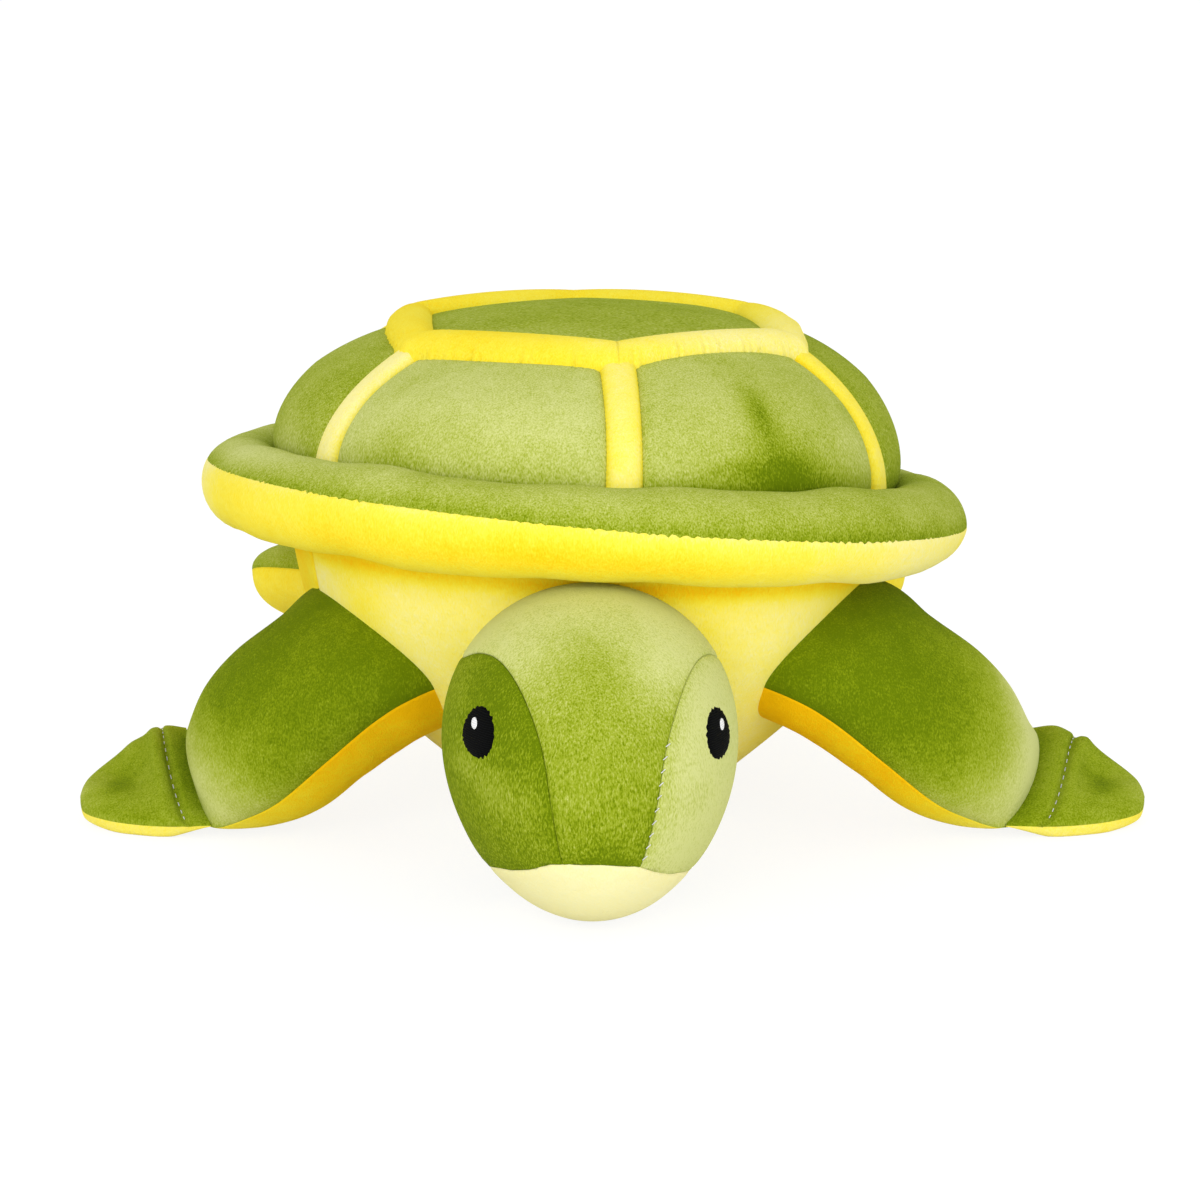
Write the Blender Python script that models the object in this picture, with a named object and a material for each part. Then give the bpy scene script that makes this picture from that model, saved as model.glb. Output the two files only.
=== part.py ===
"""A stuffed plush turtle: sewn fabric panels over fibre stuffing, with limbs that hinge on their seams.

The turtle looks along -Y and rests on its belly at Z = 0, with the origin at the middle of the belly.
Every fabric panel is a curved plate cut from the form that it covers, and each form is stuffed.
"""
import math

import bmesh
import bpy
from mathutils import Matrix, Vector

# Fabric and seams
PLUSH = 0.0026                 # plush fabric with its pile
SEAM = 0.0005                  # gap that stands for a sewn seam
STUFFING_GAP = 0.0018          # between a panel's back and the stuffing
CUT_OVERRUN = 0.02             # how far a cutting form runs past what it cuts

# Shell: a dome over a stuffed roll, sewn on with a slight twist
SHELL_YAW = math.radians(6)
SHELL_PITCH = math.radians(-6.3)
SHELL_ROLL = math.radians(3.8)
CROWN_PITCH = math.radians(-1.5)  # the crown lies more level than the roll, and not rolled at all
SHELL_SIDEWAYS = -0.005        # the roll's middle lies left of the belly's
BRIM_HEIGHT = 0.1190           # middle of the roll above the table
BRIM_HALF_WIDTH = 0.1325       # centre line of the roll
BRIM_HALF_LENGTH = 0.148
BRIM_RADIUS = 0.0170
BRIM_SEAM_ANGLE = math.radians(8)
BRIM_SEAM_ROLL = math.radians(-18)
BRIM_TUCK_ANGLE = math.radians(150)
BRIM_STUFFING_GAP = 0.0010
DOME_HEIGHT = 0.069            # above the roll's upper edge
CROWN_HALF_WIDTH = 0.077       # hexagon, from the middle to its flat sides
CROWN_STRETCH_SHARE = 0.07     # the hexagon is longer than it is wide
CROWN_FORWARD = 0.003
CROWN_FLATNESS_SHARE = 0.45    # how much of the dome's curve is left above the hexagon
PANEL_PUFF = 0.0045            # how far a side panel swells between its seams
PUFF_FULLNESS = 0.5            # exponent: a small one swells close to the seams too
CROWN_PUFF = 0.0030
BAND_WIDTH = 0.0150
BAND_GAP = 0.0010              # from the panels and strips outside it
DOME_STUFFING_GAP = 0.0008
BAND_RAISE = 0.0055
RIB_WIDTH = 0.0135
RIB_RAISE = 0.0024
PANEL_COUNT = 6
DOME_TOP_SHARE = 0.94          # the stuffing's last ring, as part of the rise
DOME_BULGE = 2.15              # exponents of the dome's outline, 2 is an ellipse
DOME_DROP = 1.95

# Body bag between the brim and the table
BELLY_HALF_WIDTH = 0.046
BELLY_HALF_LENGTH = 0.066
BELLY_EDGE_HEIGHT = 0.005      # the belly seam is above the table
BELLY_FLAT_SHARE = 0.86        # part of the belly that lies flat
SIDE_PANEL_ANGLE = math.radians(25)
BAG_TUCK_SHARE = 0.08          # how far the bag draws in below the seam under the roll
BAG_FOOT = 1.3                 # exponents of the bag's outline
BAG_BULGE = 2.4
BAG_FLARE = 14

# Head: an egg that points forward and down
HEAD_FORWARD = 0.150
HEAD_SIDEWAYS = -0.002
HEAD_HEIGHT = 0.0588
HEAD_HALF_WIDTH = 0.0525
HEAD_HALF_DEPTH = 0.0575
HEAD_NOSE_LENGTH = 0.066
HEAD_BACK_LENGTH = 0.062
HEAD_PITCH = math.radians(22)
HEAD_YAW = math.radians(4.5)
HEAD_ROLL = math.radians(1.5)
HEAD_TAPER = 0.12
GUSSET_CHIN_ANGLE = math.radians(-70)  # the strip ends here, below the nose
GUSSET_NOSE_ANGLE = math.radians(-20)  # its widths are given from here
GUSSET_NECK_ANGLE = math.radians(120)  # to here
GUSSET_SHARES = (0.18, 0.305, 0.385, 0.44, 0.535, 0.645, 0.76, 0.875)  # of the head's half width
HEAD_WRAP = math.radians(150)  # the panels run this far round from the nose, both ways
JAW_ANGLE = math.radians(39)
JAW_DROP = 0.001
CHIN_WRAP = math.radians(140)  # the chin runs back under the head this far from the nose
CHIN_RISE = math.radians(35)   # and this far above the nose, before the jaw seam cuts it
CHIN_SIDE = math.radians(57)
CHEEK_END = math.radians(83)   # the stuffing's last ring towards each cheek
EYE_WIDTH = 0.0185
EYE_HEIGHT = 0.0172
EYE_THICKNESS = 0.0009
EYE_OUT = 0.0440               # from the head's middle plane
EYE_UP_ANGLE = math.radians(51)
HIGHLIGHT_WIDTH = 0.0034
HIGHLIGHT_HEIGHT = 0.0044
HIGHLIGHT_UP = 0.0030
HIGHLIGHT_THICKNESS = 0.0006
THREAD_GAP = 0.0003

# Hinges, where the limbs are sewn on
HEAD_TURN = math.radians(10)   # the head clears the body this far to each side
NECK_FORWARD = 0.116           # the head turns about an upright line here
SHOULDER_SHARE = 0.19          # where the shoulder seam lies along the lobe
SHOULDER_OUT = 0.002           # the hinge line is proud of the plush
HIP_SHARE = 0.22
HIP_OUT = 0.002

# Front flippers
FLIPPER_REACH = {"left": 0.200, "right": 0.212}
FLIPPER_FORWARD = 0.098
FLIPPER_RISE = 0.090
FLIPPER_UPPER_SWELL = 0.019
FLIPPER_LOWER_SWELL = 0.033
LOWER_FULLNESS = 0.75          # exponent: below 1 the lower half is fuller than an oval
FOLD_HALF_THICKNESS = 0.0016
FOLD_GAP = 0.0026
TIP_UPPER_SWELL = 0.0048
TIP_LOWER_SWELL = 0.009        # the table flattens most of it

# Rear flippers
REAR_REACH = {"left": 0.151, "right": 0.135}
REAR_BACK = 0.165
REAR_RISE = 0.071
REAR_UPPER_SWELL = 0.0120
REAR_LOWER_SWELL = 0.0130

# Places along each flipper's two edges, root first, as shares of its reach, forward and rise.
# The first place of each lies inside the body, which cuts the root to its own outline.
LOBE_LEADING_SHARES = ((0.20, 0.82, 0.78), (0.33, 1.00, 0.71), (0.41, 0.99, 0.60), (0.505, 0.95, 0.41),
                       (0.60, 0.87, 0.21), (0.68, 0.77, 0.095), (0.735, 0.715, 0.04))
LOBE_TRAILING_SHARES = ((0.42, 0.18, 0.98), (0.53, 0.31, 0.955), (0.59, 0.39, 0.855), (0.67, 0.39, 0.73),
                        (0.72, 0.36, 0.60), (0.755, 0.29, 0.43), (0.815, 0.07, 0.295))
LOBE_SWELL_SHARES = (0.85, 0.95, 1.0, 1.0, 0.95, 0.70, 0.0)
TIP_LEADING_SHARES = ((0.735, 0.715, 0.04), (0.815, 0.715, 0.035), (0.88, 0.695, 0.035), (0.935, 0.64, 0.038),
                      (0.98, 0.54, 0.045), (0.997, 0.46, 0.06))
TIP_TRAILING_SHARES = ((0.815, 0.07, 0.295), (0.86, 0.08, 0.298), (0.905, 0.13, 0.24), (0.95, 0.21, 0.185),
                       (0.987, 0.31, 0.115), (0.999, 0.40, 0.075))
TIP_SWELL_SHARES = (0.0, 1.0, 1.0, 0.9, 0.6, 0.1)
REAR_LEADING_SHARES = ((0.50, 0.36, 0.93), (0.76, 0.46, 0.93), (0.94, 0.56, 0.88), (0.93, 0.72, 0.72),
                       (0.84, 0.88, 0.45), (0.80, 0.98, 0.17))
REAR_TRAILING_SHARES = ((0.36, 0.58, 0.90), (0.54, 0.68, 0.86), (0.66, 0.80, 0.70), (0.66, 0.92, 0.50),
                        (0.70, 1.00, 0.28), (0.76, 1.02, 0.13))
REAR_SWELL_SHARES = (0.75, 0.95, 1.0, 0.90, 0.65, 0.20)

LOBE_STUFFING_SHARES = (0.05, 0.78)  # where the stuffing starts and ends along each limb
TIP_STUFFING_SHARES = (0.12, 0.9)
REAR_STUFFING_SHARES = (0, 0.92)
PANEL_SHARE = 0.45             # a panel takes up at most this part of a limb's half thickness
STUFFING_SHARE = 0.75          # and its stuffing stays at least this part inside

# How finely the forms are divided
SIDE_COLUMNS, SIDE_ROWS = 7, 6
RIB_COLUMNS = 2
BAND_STEPS = 4
BRIM_COLUMNS, BRIM_ROWS = 36, 5
BAG_ROW_SHARES = (0, 0.045, 0.14, 0.30, 0.50, 0.70, 0.86, 1)
BAG_COLUMNS = 28
BODY_STEP = math.radians(13)
HEAD_COLUMNS, HEAD_ROWS = 18, 5
LOBE_ROWS, TIP_ROWS, LIMB_HALF_COLUMNS = 9, 5, 6
OVAL_LEVELS, OVAL_COLUMNS = (1, 0.85, 0), 14

COLOURS = {
    "green_plush": (0.29, 0.40, 0.045),
    "yellow_plush": (0.95, 0.80, 0.065),
    "pale_yellow_plush": (0.93, 0.88, 0.38),
    "white_fibre": (0.85, 0.85, 0.83),
    "black_thread": (0.008, 0.008, 0.012),
    "white_thread": (0.85, 0.85, 0.85),
}
SHARP_ANGLE = math.radians(50)
NUDGE = 0.001                  # step of the surfaces' parameters for their normals


def clear_scene():
    for item in list(bpy.data.objects):
        bpy.data.objects.remove(item, do_unlink=True)


def material(kind):
    """The finish of one kind of fabric, fibre or thread."""
    found = bpy.data.materials.get(kind)
    if found:
        return found
    made = bpy.data.materials.new(kind)
    made.use_nodes = True
    shader = made.node_tree.nodes["Principled BSDF"]
    shader.inputs["Base Color"].default_value = (*COLOURS[kind], 1)
    shader.inputs["Roughness"].default_value = 0.9
    shader.inputs["Metallic"].default_value = 0
    made.diffuse_color = (*COLOURS[kind], 1)
    return made


def add_object(name, mesh_data, kind):
    """Turn a finished bmesh into a named, smooth-shaded object."""
    mesh = bpy.data.meshes.new(name)
    bmesh.ops.remove_doubles(mesh_data, verts=mesh_data.verts, dist=SEAM / 100)
    bmesh.ops.recalc_face_normals(mesh_data, faces=mesh_data.faces)
    mesh_data.to_mesh(mesh)
    mesh_data.free()
    mesh.shade_smooth()
    mesh.set_sharp_from_angle(angle=SHARP_ANGLE)
    made = bpy.data.objects.new(name, mesh)
    bpy.context.collection.objects.link(made)
    made.data.materials.append(material(kind))
    return made


def skin_rows(mesh_data, rows, closed):
    """Join neighbouring rows of points with quads, and return the rows' vertices."""
    grid = [[mesh_data.verts.new(point) for point in row] for row in rows]
    count = len(grid[0])
    span = count if closed else count - 1
    for lower, upper in zip(grid, grid[1:]):
        for column in range(span):
            after = (column + 1) % count
            mesh_data.faces.new((lower[column], lower[after], upper[after], upper[column]))
    return grid


def is_pole(row):
    return all((point - row[0]).length < SEAM / 100 for point in row)


def wall(mesh_data, first, second, closed):
    """Close the edge between a plate's front and back."""
    count = len(first)
    span = count if closed else count - 1
    for column in range(span):
        after = (column + 1) % count
        mesh_data.faces.new((first[column], first[after], second[after], second[column]))


def add_plate(name, front, back, kind, closed=False):
    """A panel of fabric: a front and a back of matching rows, joined along every open edge."""
    mesh_data = bmesh.new()
    outer = skin_rows(mesh_data, front, closed)
    inner = skin_rows(mesh_data, back, closed)
    for end in (0, -1):
        if not is_pole(front[end]):
            wall(mesh_data, outer[end], inner[end], closed)
    if not closed:
        for side in (0, -1):
            wall(mesh_data, [row[side] for row in outer], [row[side] for row in inner], False)
    return add_object(name, mesh_data, kind)


def add_stuffing(name, rings, kind="white_fibre"):
    """A closed form of stacked rings, its two ends drawn together to their middles."""
    mesh_data = bmesh.new()
    first = [sum(rings[0], Vector()) / len(rings[0])] * len(rings[0])
    last = [sum(rings[-1], Vector()) / len(rings[-1])] * len(rings[-1])
    skin_rows(mesh_data, [first] + rings + [last], True)
    return add_object(name, mesh_data, kind)


def spread(first, last, steps):
    """Evenly spaced values from first to last, both included."""
    return [first + (last - first) * step / steps for step in range(steps + 1)]


def outward(surface, across, along, middle):
    """The unit normal of a surface, away from the form's middle."""
    across_step = surface(across + NUDGE, along) - surface(across - NUDGE, along)
    along_step = surface(across, along + NUDGE) - surface(across, along - NUDGE)
    normal = across_step.cross(along_step).normalized()
    if normal.dot(surface(across, along) - middle) < 0:
        normal.negate()
    return normal


def cut(target, cutter, operation="DIFFERENCE"):
    """Cut one form by another, which stays as a hidden guide."""
    modifier = target.modifiers.new("cut_by_" + cutter.name, "BOOLEAN")
    modifier.operation = operation
    modifier.solver = "EXACT"
    modifier.object = cutter


def tidy_cut(target):
    """Merge the slivers that a cut leaves."""
    modifier = target.modifiers.new("tidy_cut", "WELD")
    modifier.merge_threshold = SEAM / 5


def as_guide(guide):
    guide.hide_render = True
    guide.display_type = "WIRE"
    return guide


def add_hinge(name, place, axis, parent=None):
    """An empty on a joint's axis, with its own Z along the axis, which carries what swings."""
    hinge = bpy.data.objects.new(name, None)
    hinge.empty_display_size = CUT_OVERRUN
    bpy.context.collection.objects.link(hinge)
    hinge["place"] = place
    hinge["axis"] = axis.normalized()
    hinge.matrix_basis = Matrix.Translation(place) @ axis.to_track_quat("Z", "Y").to_matrix().to_4x4()
    if parent:
        hang(hinge, parent)
    return hinge


def hang(piece, hinge):
    """Parent a piece to its hinge and leave it where it is."""
    piece.parent = hinge
    inverse = hinge.matrix_basis.inverted()
    if hinge.parent:
        inverse = inverse @ hinge.matrix_parent_inverse.inverted() @ hinge.parent.matrix_basis.inverted()
    piece.matrix_parent_inverse = inverse


def flatten_on_table(target):
    """Cut a form flat where it rests on the table."""
    mesh_data = bmesh.new()
    mesh_data.from_mesh(target.data)
    everything = mesh_data.verts[:] + mesh_data.edges[:] + mesh_data.faces[:]
    bmesh.ops.bisect_plane(mesh_data, geom=everything, dist=SEAM / 1000, plane_co=(0, 0, 0),
                           plane_no=(0, 0, -1), clear_outer=True)
    rim = [edge for edge in mesh_data.edges if edge.is_boundary]
    if rim:
        bmesh.ops.holes_fill(mesh_data, edges=rim, sides=0)
        bmesh.ops.recalc_face_normals(mesh_data, faces=mesh_data.faces)
    mesh_data.to_mesh(target.data)
    mesh_data.free()


# Shell

SHELL_PLACE = (Matrix.Translation((SHELL_SIDEWAYS, 0, BRIM_HEIGHT))
               @ Matrix.Rotation(SHELL_YAW, 4, "Z") @ Matrix.Rotation(SHELL_PITCH, 4, "X")
               @ Matrix.Rotation(SHELL_ROLL, 4, "Y"))
BRIM_TUCK = BRIM_RADIUS * math.cos(BRIM_TUCK_ANGLE)
SHELL_HALF_WIDTH = BRIM_HALF_WIDTH + BRIM_TUCK + PLUSH / 2
SHELL_HALF_LENGTH = BRIM_HALF_LENGTH + BRIM_TUCK + PLUSH / 2
SHELL_LIFT = BRIM_RADIUS * math.sin(BRIM_TUCK_ANGLE) + PLUSH
SECTOR = 2 * math.pi / PANEL_COUNT
FRONT = -math.pi / 2
CROWN_LEVEL = Vector((math.sin(SHELL_ROLL), math.sin(CROWN_PITCH) - math.sin(SHELL_PITCH), 0))


def dome_surface(around, rise):
    """The dome before its panels swell: around is an angle, rise runs from 0 at the brim to 1 on top."""
    quarter = rise * math.pi / 2
    level = math.cos(quarter) ** (2 / DOME_BULGE)
    height = math.sin(max(quarter, 0)) ** (2 / DOME_DROP)
    height -= max(height - CROWN_EDGE_SHARE, 0) * (1 - CROWN_FLATNESS_SHARE)
    flat = Vector((SHELL_HALF_WIDTH * level * math.cos(around), SHELL_HALF_LENGTH * level * math.sin(around),
                   0))
    lift = SHELL_LIFT + DOME_HEIGHT * height + flat.dot(CROWN_LEVEL) * height
    return Vector((flat.x, flat.y, lift))


CROWN_EDGE_SHARE = math.sin(math.acos((CROWN_HALF_WIDTH / SHELL_HALF_WIDTH) ** (DOME_BULGE / 2)))


def crown_rise(around, inset):
    """The rise at which the dome meets the hexagon, moved inwards by a length."""
    turn = (around - FRONT) % SECTOR - SECTOR / 2
    radius = (CROWN_HALF_WIDTH - inset) / math.cos(turn) * (1 + CROWN_STRETCH_SHARE * math.sin(around) ** 2)
    radius -= CROWN_FORWARD * math.sin(around)
    edge = 1 / math.hypot(math.cos(around) / SHELL_HALF_WIDTH, math.sin(around) / SHELL_HALF_LENGTH)
    return math.acos((radius / edge) ** (DOME_BULGE / 2)) * 2 / math.pi


def rib_turn(rise, width):
    """Half the angle that a strip of this width takes up at this rise."""
    level = math.cos(rise * math.pi / 2) ** (2 / DOME_BULGE)
    return width / 2 / (level * (SHELL_HALF_WIDTH + SHELL_HALF_LENGTH) / 2)


def dome_point(around, rise, out):
    """A point at a distance out from the dome, in the world."""
    safe_rise = min(max(rise, 2 * NUDGE), 1 - 2 * NUDGE)
    normal = outward(dome_surface, around, safe_rise, Vector())
    return SHELL_PLACE @ (dome_surface(around, min(rise, 1)) + normal * out)


def draw_to_pole(rows):
    """Gather the last row into one point."""
    middle = sum(rows[-1], Vector()) / len(rows[-1])
    rows[-1] = [middle] * len(rows[-1])
    return rows


def add_side_panel(index):
    """A puffed panel between two ribs, from the brim to the hexagon band."""
    first_rib = FRONT + SECTOR * index
    front, back = [], []
    for row in range(SIDE_ROWS + 1):
        up = row / SIDE_ROWS
        outer_row, inner_row = [], []
        for column in range(SIDE_COLUMNS + 1):
            side = column / SIDE_COLUMNS
            around = first_rib + SECTOR * side
            rise = crown_rise(around, -BAND_GAP) * up
            edge = rib_turn(rise, RIB_WIDTH + 2 * SEAM)
            around = first_rib + edge + (SECTOR - 2 * edge) * side
            rise = crown_rise(around, -BAND_GAP) * up
            fullness = 4 * side * (1 - side) * math.sin(math.pi * min(up, 1 - up / SIDE_ROWS))
            puff = PANEL_PUFF * max(fullness, 0) ** PUFF_FULLNESS
            outer_row.append(dome_point(around, rise, puff))
            inner_row.append(dome_point(around, rise, puff - PLUSH))
        front.append(outer_row)
        back.append(inner_row)
    return add_plate(f"shell_side_panel_{index + 1}", front, back, "green_plush")


def add_rib(index):
    """A padded strip down a seam of the dome."""
    middle = FRONT + SECTOR * index
    front, back = [], []
    for up in spread(0, 1, SIDE_ROWS):
        outer_row, inner_row = [], []
        for side in spread(-1, 1, RIB_COLUMNS):
            rise = crown_rise(middle, -BAND_GAP) * up
            around = middle + rib_turn(rise, RIB_WIDTH) * side
            rise = crown_rise(around, -BAND_GAP) * up
            raised = RIB_RAISE * (1 - side * side) * (1 - (1 - up) ** SIDE_ROWS)
            outer_row.append(dome_point(around, rise, raised))
            inner_row.append(dome_point(around, rise, -PLUSH))
        front.append(outer_row)
        back.append(inner_row)
    return add_plate(f"shell_rib_{index + 1}", front, back, "yellow_plush")


def add_band():
    """The raised hexagon round the crown, with a ridge along its middle."""
    turns = spread(FRONT, FRONT + 2 * math.pi, PANEL_COUNT * BAND_STEPS)[:-1]
    insets = spread(0, BAND_WIDTH, 2)
    raises = (0, BAND_RAISE, 0)
    front = [[dome_point(turn, crown_rise(turn, inset), out) for turn in turns]
             for inset, out in zip(insets, raises)]
    back = [[dome_point(turn, crown_rise(turn, inset), -PLUSH) for turn in turns] for inset in insets]
    return add_plate("hexagon_band", front, back, "yellow_plush", closed=True)


def add_crown_panel():
    """The puffed panel inside the hexagon."""
    turns = spread(FRONT, FRONT + 2 * math.pi, PANEL_COUNT * BAND_STEPS)[:-1]
    front, back = [], []
    for inward in spread(0, 1, 3):
        start = [crown_rise(turn, BAND_WIDTH + SEAM) for turn in turns]
        rises = [rise + (1 - rise) * inward for rise in start]
        puff = CROWN_PUFF * math.sin(math.pi / 2 * inward) ** PUFF_FULLNESS
        front.append([dome_point(turn, rise, puff) for turn, rise in zip(turns, rises)])
        back.append([dome_point(turn, rise, puff - PLUSH) for turn, rise in zip(turns, rises)])
    return add_plate("shell_top_hexagon", draw_to_pole(front), draw_to_pole(back), "green_plush",
                     closed=True)


def brim_point(around, roll, inset):
    """A point of the stuffed roll: around the shell, and round the roll from its outer side up."""
    sideways = Vector((math.cos(around) * BRIM_HALF_LENGTH, math.sin(around) * BRIM_HALF_WIDTH, 0))
    sideways.normalize()
    centre = Vector((BRIM_HALF_WIDTH * math.cos(around), BRIM_HALF_LENGTH * math.sin(around), 0))
    lift = Vector((0, 0, math.sin(roll)))
    return SHELL_PLACE @ (centre + (sideways * math.cos(roll) + lift) * (BRIM_RADIUS - inset))


def brim_seam(around):
    """The seam between the roll's green and yellow strips climbs from one side to the other."""
    return BRIM_SEAM_ANGLE + BRIM_SEAM_ROLL * math.cos(around)


def add_brim():
    turns = spread(0, 2 * math.pi, BRIM_COLUMNS)[:-1]
    half_seam = SEAM / 2 / BRIM_RADIUS
    for name, side, kind in (("brim_upper", 1, "green_plush"), ("brim_lower", -1, "yellow_plush")):
        front, back = [], []
        for row in range(BRIM_ROWS + 1):
            share = row / BRIM_ROWS
            starts = [brim_seam(turn) + side * half_seam for turn in turns]
            rolls = [start + (side * BRIM_TUCK_ANGLE - start) * share for start in starts]
            front.append([brim_point(turn, roll, 0) for turn, roll in zip(turns, rolls)])
            back.append([brim_point(turn, roll, PLUSH) for turn, roll in zip(turns, rolls)])
        add_plate(name, front, back, kind, closed=True)
    mesh_data = bmesh.new()
    section = spread(0, 2 * math.pi, 2 * BRIM_ROWS)[:-1]
    rings = [[brim_point(turn, roll, PLUSH + BRIM_STUFFING_GAP) for roll in section] for turn in turns]
    skin_rows(mesh_data, rings + rings[:1], True)
    add_object("brim_filling", mesh_data, "white_fibre")


def on_shell_level(ring, height):
    """Move a ring of points to a height above the roll's middle level, along the shell's own up."""
    local = [SHELL_PLACE.inverted() @ point for point in ring]
    return [SHELL_PLACE @ Vector((point.x, point.y, height)) for point in local]


def add_shell_filling():
    """The dome's stuffing, flat below where the bag's stuffing meets it."""
    turns = spread(FRONT, FRONT + 2 * math.pi, PANEL_COUNT * BAND_STEPS)[:-1]
    depth = -PLUSH - DOME_STUFFING_GAP
    rises = spread(0, DOME_TOP_SHARE, SIDE_ROWS)
    rings = [[dome_point(turn, rise, depth) for turn in turns] for rise in rises]
    add_stuffing("shell_filling", [on_shell_level(rings[0], SEAM)] + rings)


# Body bag

BODY_MIDDLE = Vector((0, 0, BRIM_HEIGHT / 2))


def body_surface(around, down):
    """The bag: around is an angle, down runs from 0 under the brim to 1 at the belly seam."""
    top = SHELL_PLACE @ Vector((SHELL_HALF_WIDTH * math.cos(around), SHELL_HALF_LENGTH * math.sin(around),
                                -SHELL_LIFT))
    low = Vector((BELLY_HALF_WIDTH * math.cos(around), BELLY_HALF_LENGTH * math.sin(around),
                  BELLY_EDGE_HEIGHT))
    height = min(max(1 - down, 0), 1)
    bulge = 1 - (1 - height ** BAG_FOOT) ** BAG_BULGE
    spreading = bulge * (1 - BAG_TUCK_SHARE) + height ** BAG_FLARE * BAG_TUCK_SHARE
    flat = low + (top - low) * spreading
    return Vector((flat.x, flat.y, low.z + (top.z - low.z) * height))


def body_point(around, down, out):
    safe_down = min(max(down, 2 * NUDGE), 1 - 2 * NUDGE)
    normal = outward(body_surface, around, safe_down, BODY_MIDDLE)
    return body_surface(around, down) + normal * out


def belly_rows(inset):
    """The belly from its seam to its middle: a short curve down to a flat that lies on the table."""
    turns = spread(0, 2 * math.pi, BAG_COLUMNS)[:-1]
    levels = (1 - SEAM / BELLY_HALF_WIDTH, (1 + BELLY_FLAT_SHARE) / 2, BELLY_FLAT_SHARE, 0)
    heights = (BELLY_EDGE_HEIGHT - SEAM, BELLY_EDGE_HEIGHT / 4, 0, 0)
    rows = []
    for level, height in zip(levels, heights):
        rows.append([Vector(((BELLY_HALF_WIDTH - inset) * level * math.cos(turn),
                             (BELLY_HALF_LENGTH - inset) * level * math.sin(turn),
                             min(height + inset, BELLY_EDGE_HEIGHT - SEAM))) for turn in turns])
    return rows


def add_body():
    corners = (FRONT - math.pi / 2 + SIDE_PANEL_ANGLE, -SIDE_PANEL_ANGLE, SIDE_PANEL_ANGLE,
               math.pi - SIDE_PANEL_ANGLE, math.pi + SIDE_PANEL_ANGLE)
    names = ("body_front_panel", "body_right_panel", "body_back_panel", "body_left_panel")
    half_seam = SEAM / 2 / BELLY_HALF_WIDTH
    for name, first, last in zip(names, corners, corners[1:]):
        turns = spread(first + half_seam, last - half_seam, math.ceil((last - first) / BODY_STEP))
        front = [[body_point(turn, down, 0) for turn in turns] for down in BAG_ROW_SHARES]
        back = [[body_point(turn, down, -PLUSH) for turn in turns] for down in BAG_ROW_SHARES]
        add_plate(name, front, back, "yellow_plush")
    add_plate("belly_panel", belly_rows(0), belly_rows(PLUSH), "yellow_plush", closed=True)
    turns = spread(0, 2 * math.pi, BAG_COLUMNS)[:-1]
    rings = [[body_point(turn, down, -PLUSH - STUFFING_GAP) for turn in turns]
             for down in BAG_ROW_SHARES[:-1]]
    low = belly_rows(PLUSH + STUFFING_GAP)[2]
    add_stuffing("body_filling", [on_shell_level(rings[0], -SEAM)] + rings + [low])


def body_guide(name, clearance, turn):
    """The bag's outline, larger by a clearance, which cuts whatever is sewn on it.

    A turned copy clears a limb that swings about the neck by that angle."""
    around_bag = spread(0, 2 * math.pi, BAG_COLUMNS)[:-1]
    rings = [[body_point(around, down, clearance) for around in around_bag] for down in BAG_ROW_SHARES]
    top = [point + Vector((0, 0, CUT_OVERRUN)) for point in rings[0]]
    low = [Vector((point.x, point.y, -CUT_OVERRUN)) for point in rings[-1]]
    neck = Vector((HEAD_SIDEWAYS, -NECK_FORWARD, 0))
    swing = Matrix.Translation(neck) @ Matrix.Rotation(turn, 4, "Z") @ Matrix.Translation(-neck)
    rings = [[swing @ point for point in ring] for ring in [top] + rings + [low]]
    return as_guide(add_stuffing(name, rings))


# Head

HEAD_PLACE = (Matrix.Translation((HEAD_SIDEWAYS, -HEAD_FORWARD, HEAD_HEIGHT))
              @ Matrix.Rotation(HEAD_YAW, 4, "Z") @ Matrix.Rotation(HEAD_ROLL, 4, "Y")
              @ Matrix.Rotation(HEAD_PITCH, 4, "X"))


def head_surface(over, side):
    """The egg: over turns from the nose over the crown to the neck, side from cheek to cheek."""
    length = HEAD_NOSE_LENGTH if math.cos(over) > 0 else HEAD_BACK_LENGTH
    taper = 1 - HEAD_TAPER * math.cos(over) * math.cos(side)
    return Vector((HEAD_HALF_WIDTH * math.sin(side) * taper,
                   -math.cos(side) * math.cos(over) * length,
                   math.cos(side) * math.sin(over) * HEAD_HALF_DEPTH))


def head_point(over, side, out):
    limit = math.pi / 2 - 2 * NUDGE
    normal = outward(head_surface, over, min(max(side, -limit), limit), Vector())
    return HEAD_PLACE @ (head_surface(over, side) + normal * out)


def gusset_edge(over):
    """How far round the side the centre strip's seam lies, narrow at the nose and wide at the neck."""
    share = (over - GUSSET_NOSE_ANGLE) / (GUSSET_NECK_ANGLE - GUSSET_NOSE_ANGLE)
    width_share = smooth_place(GUSSET_SHARES, min(max(share, 0), 1))
    narrowing = (over - GUSSET_CHIN_ANGLE) / (GUSSET_NOSE_ANGLE - GUSSET_CHIN_ANGLE)
    width_share *= min(max(narrowing, 0), 1)
    return math.asin(width_share + SEAM / 2 / HEAD_HALF_WIDTH)


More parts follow.
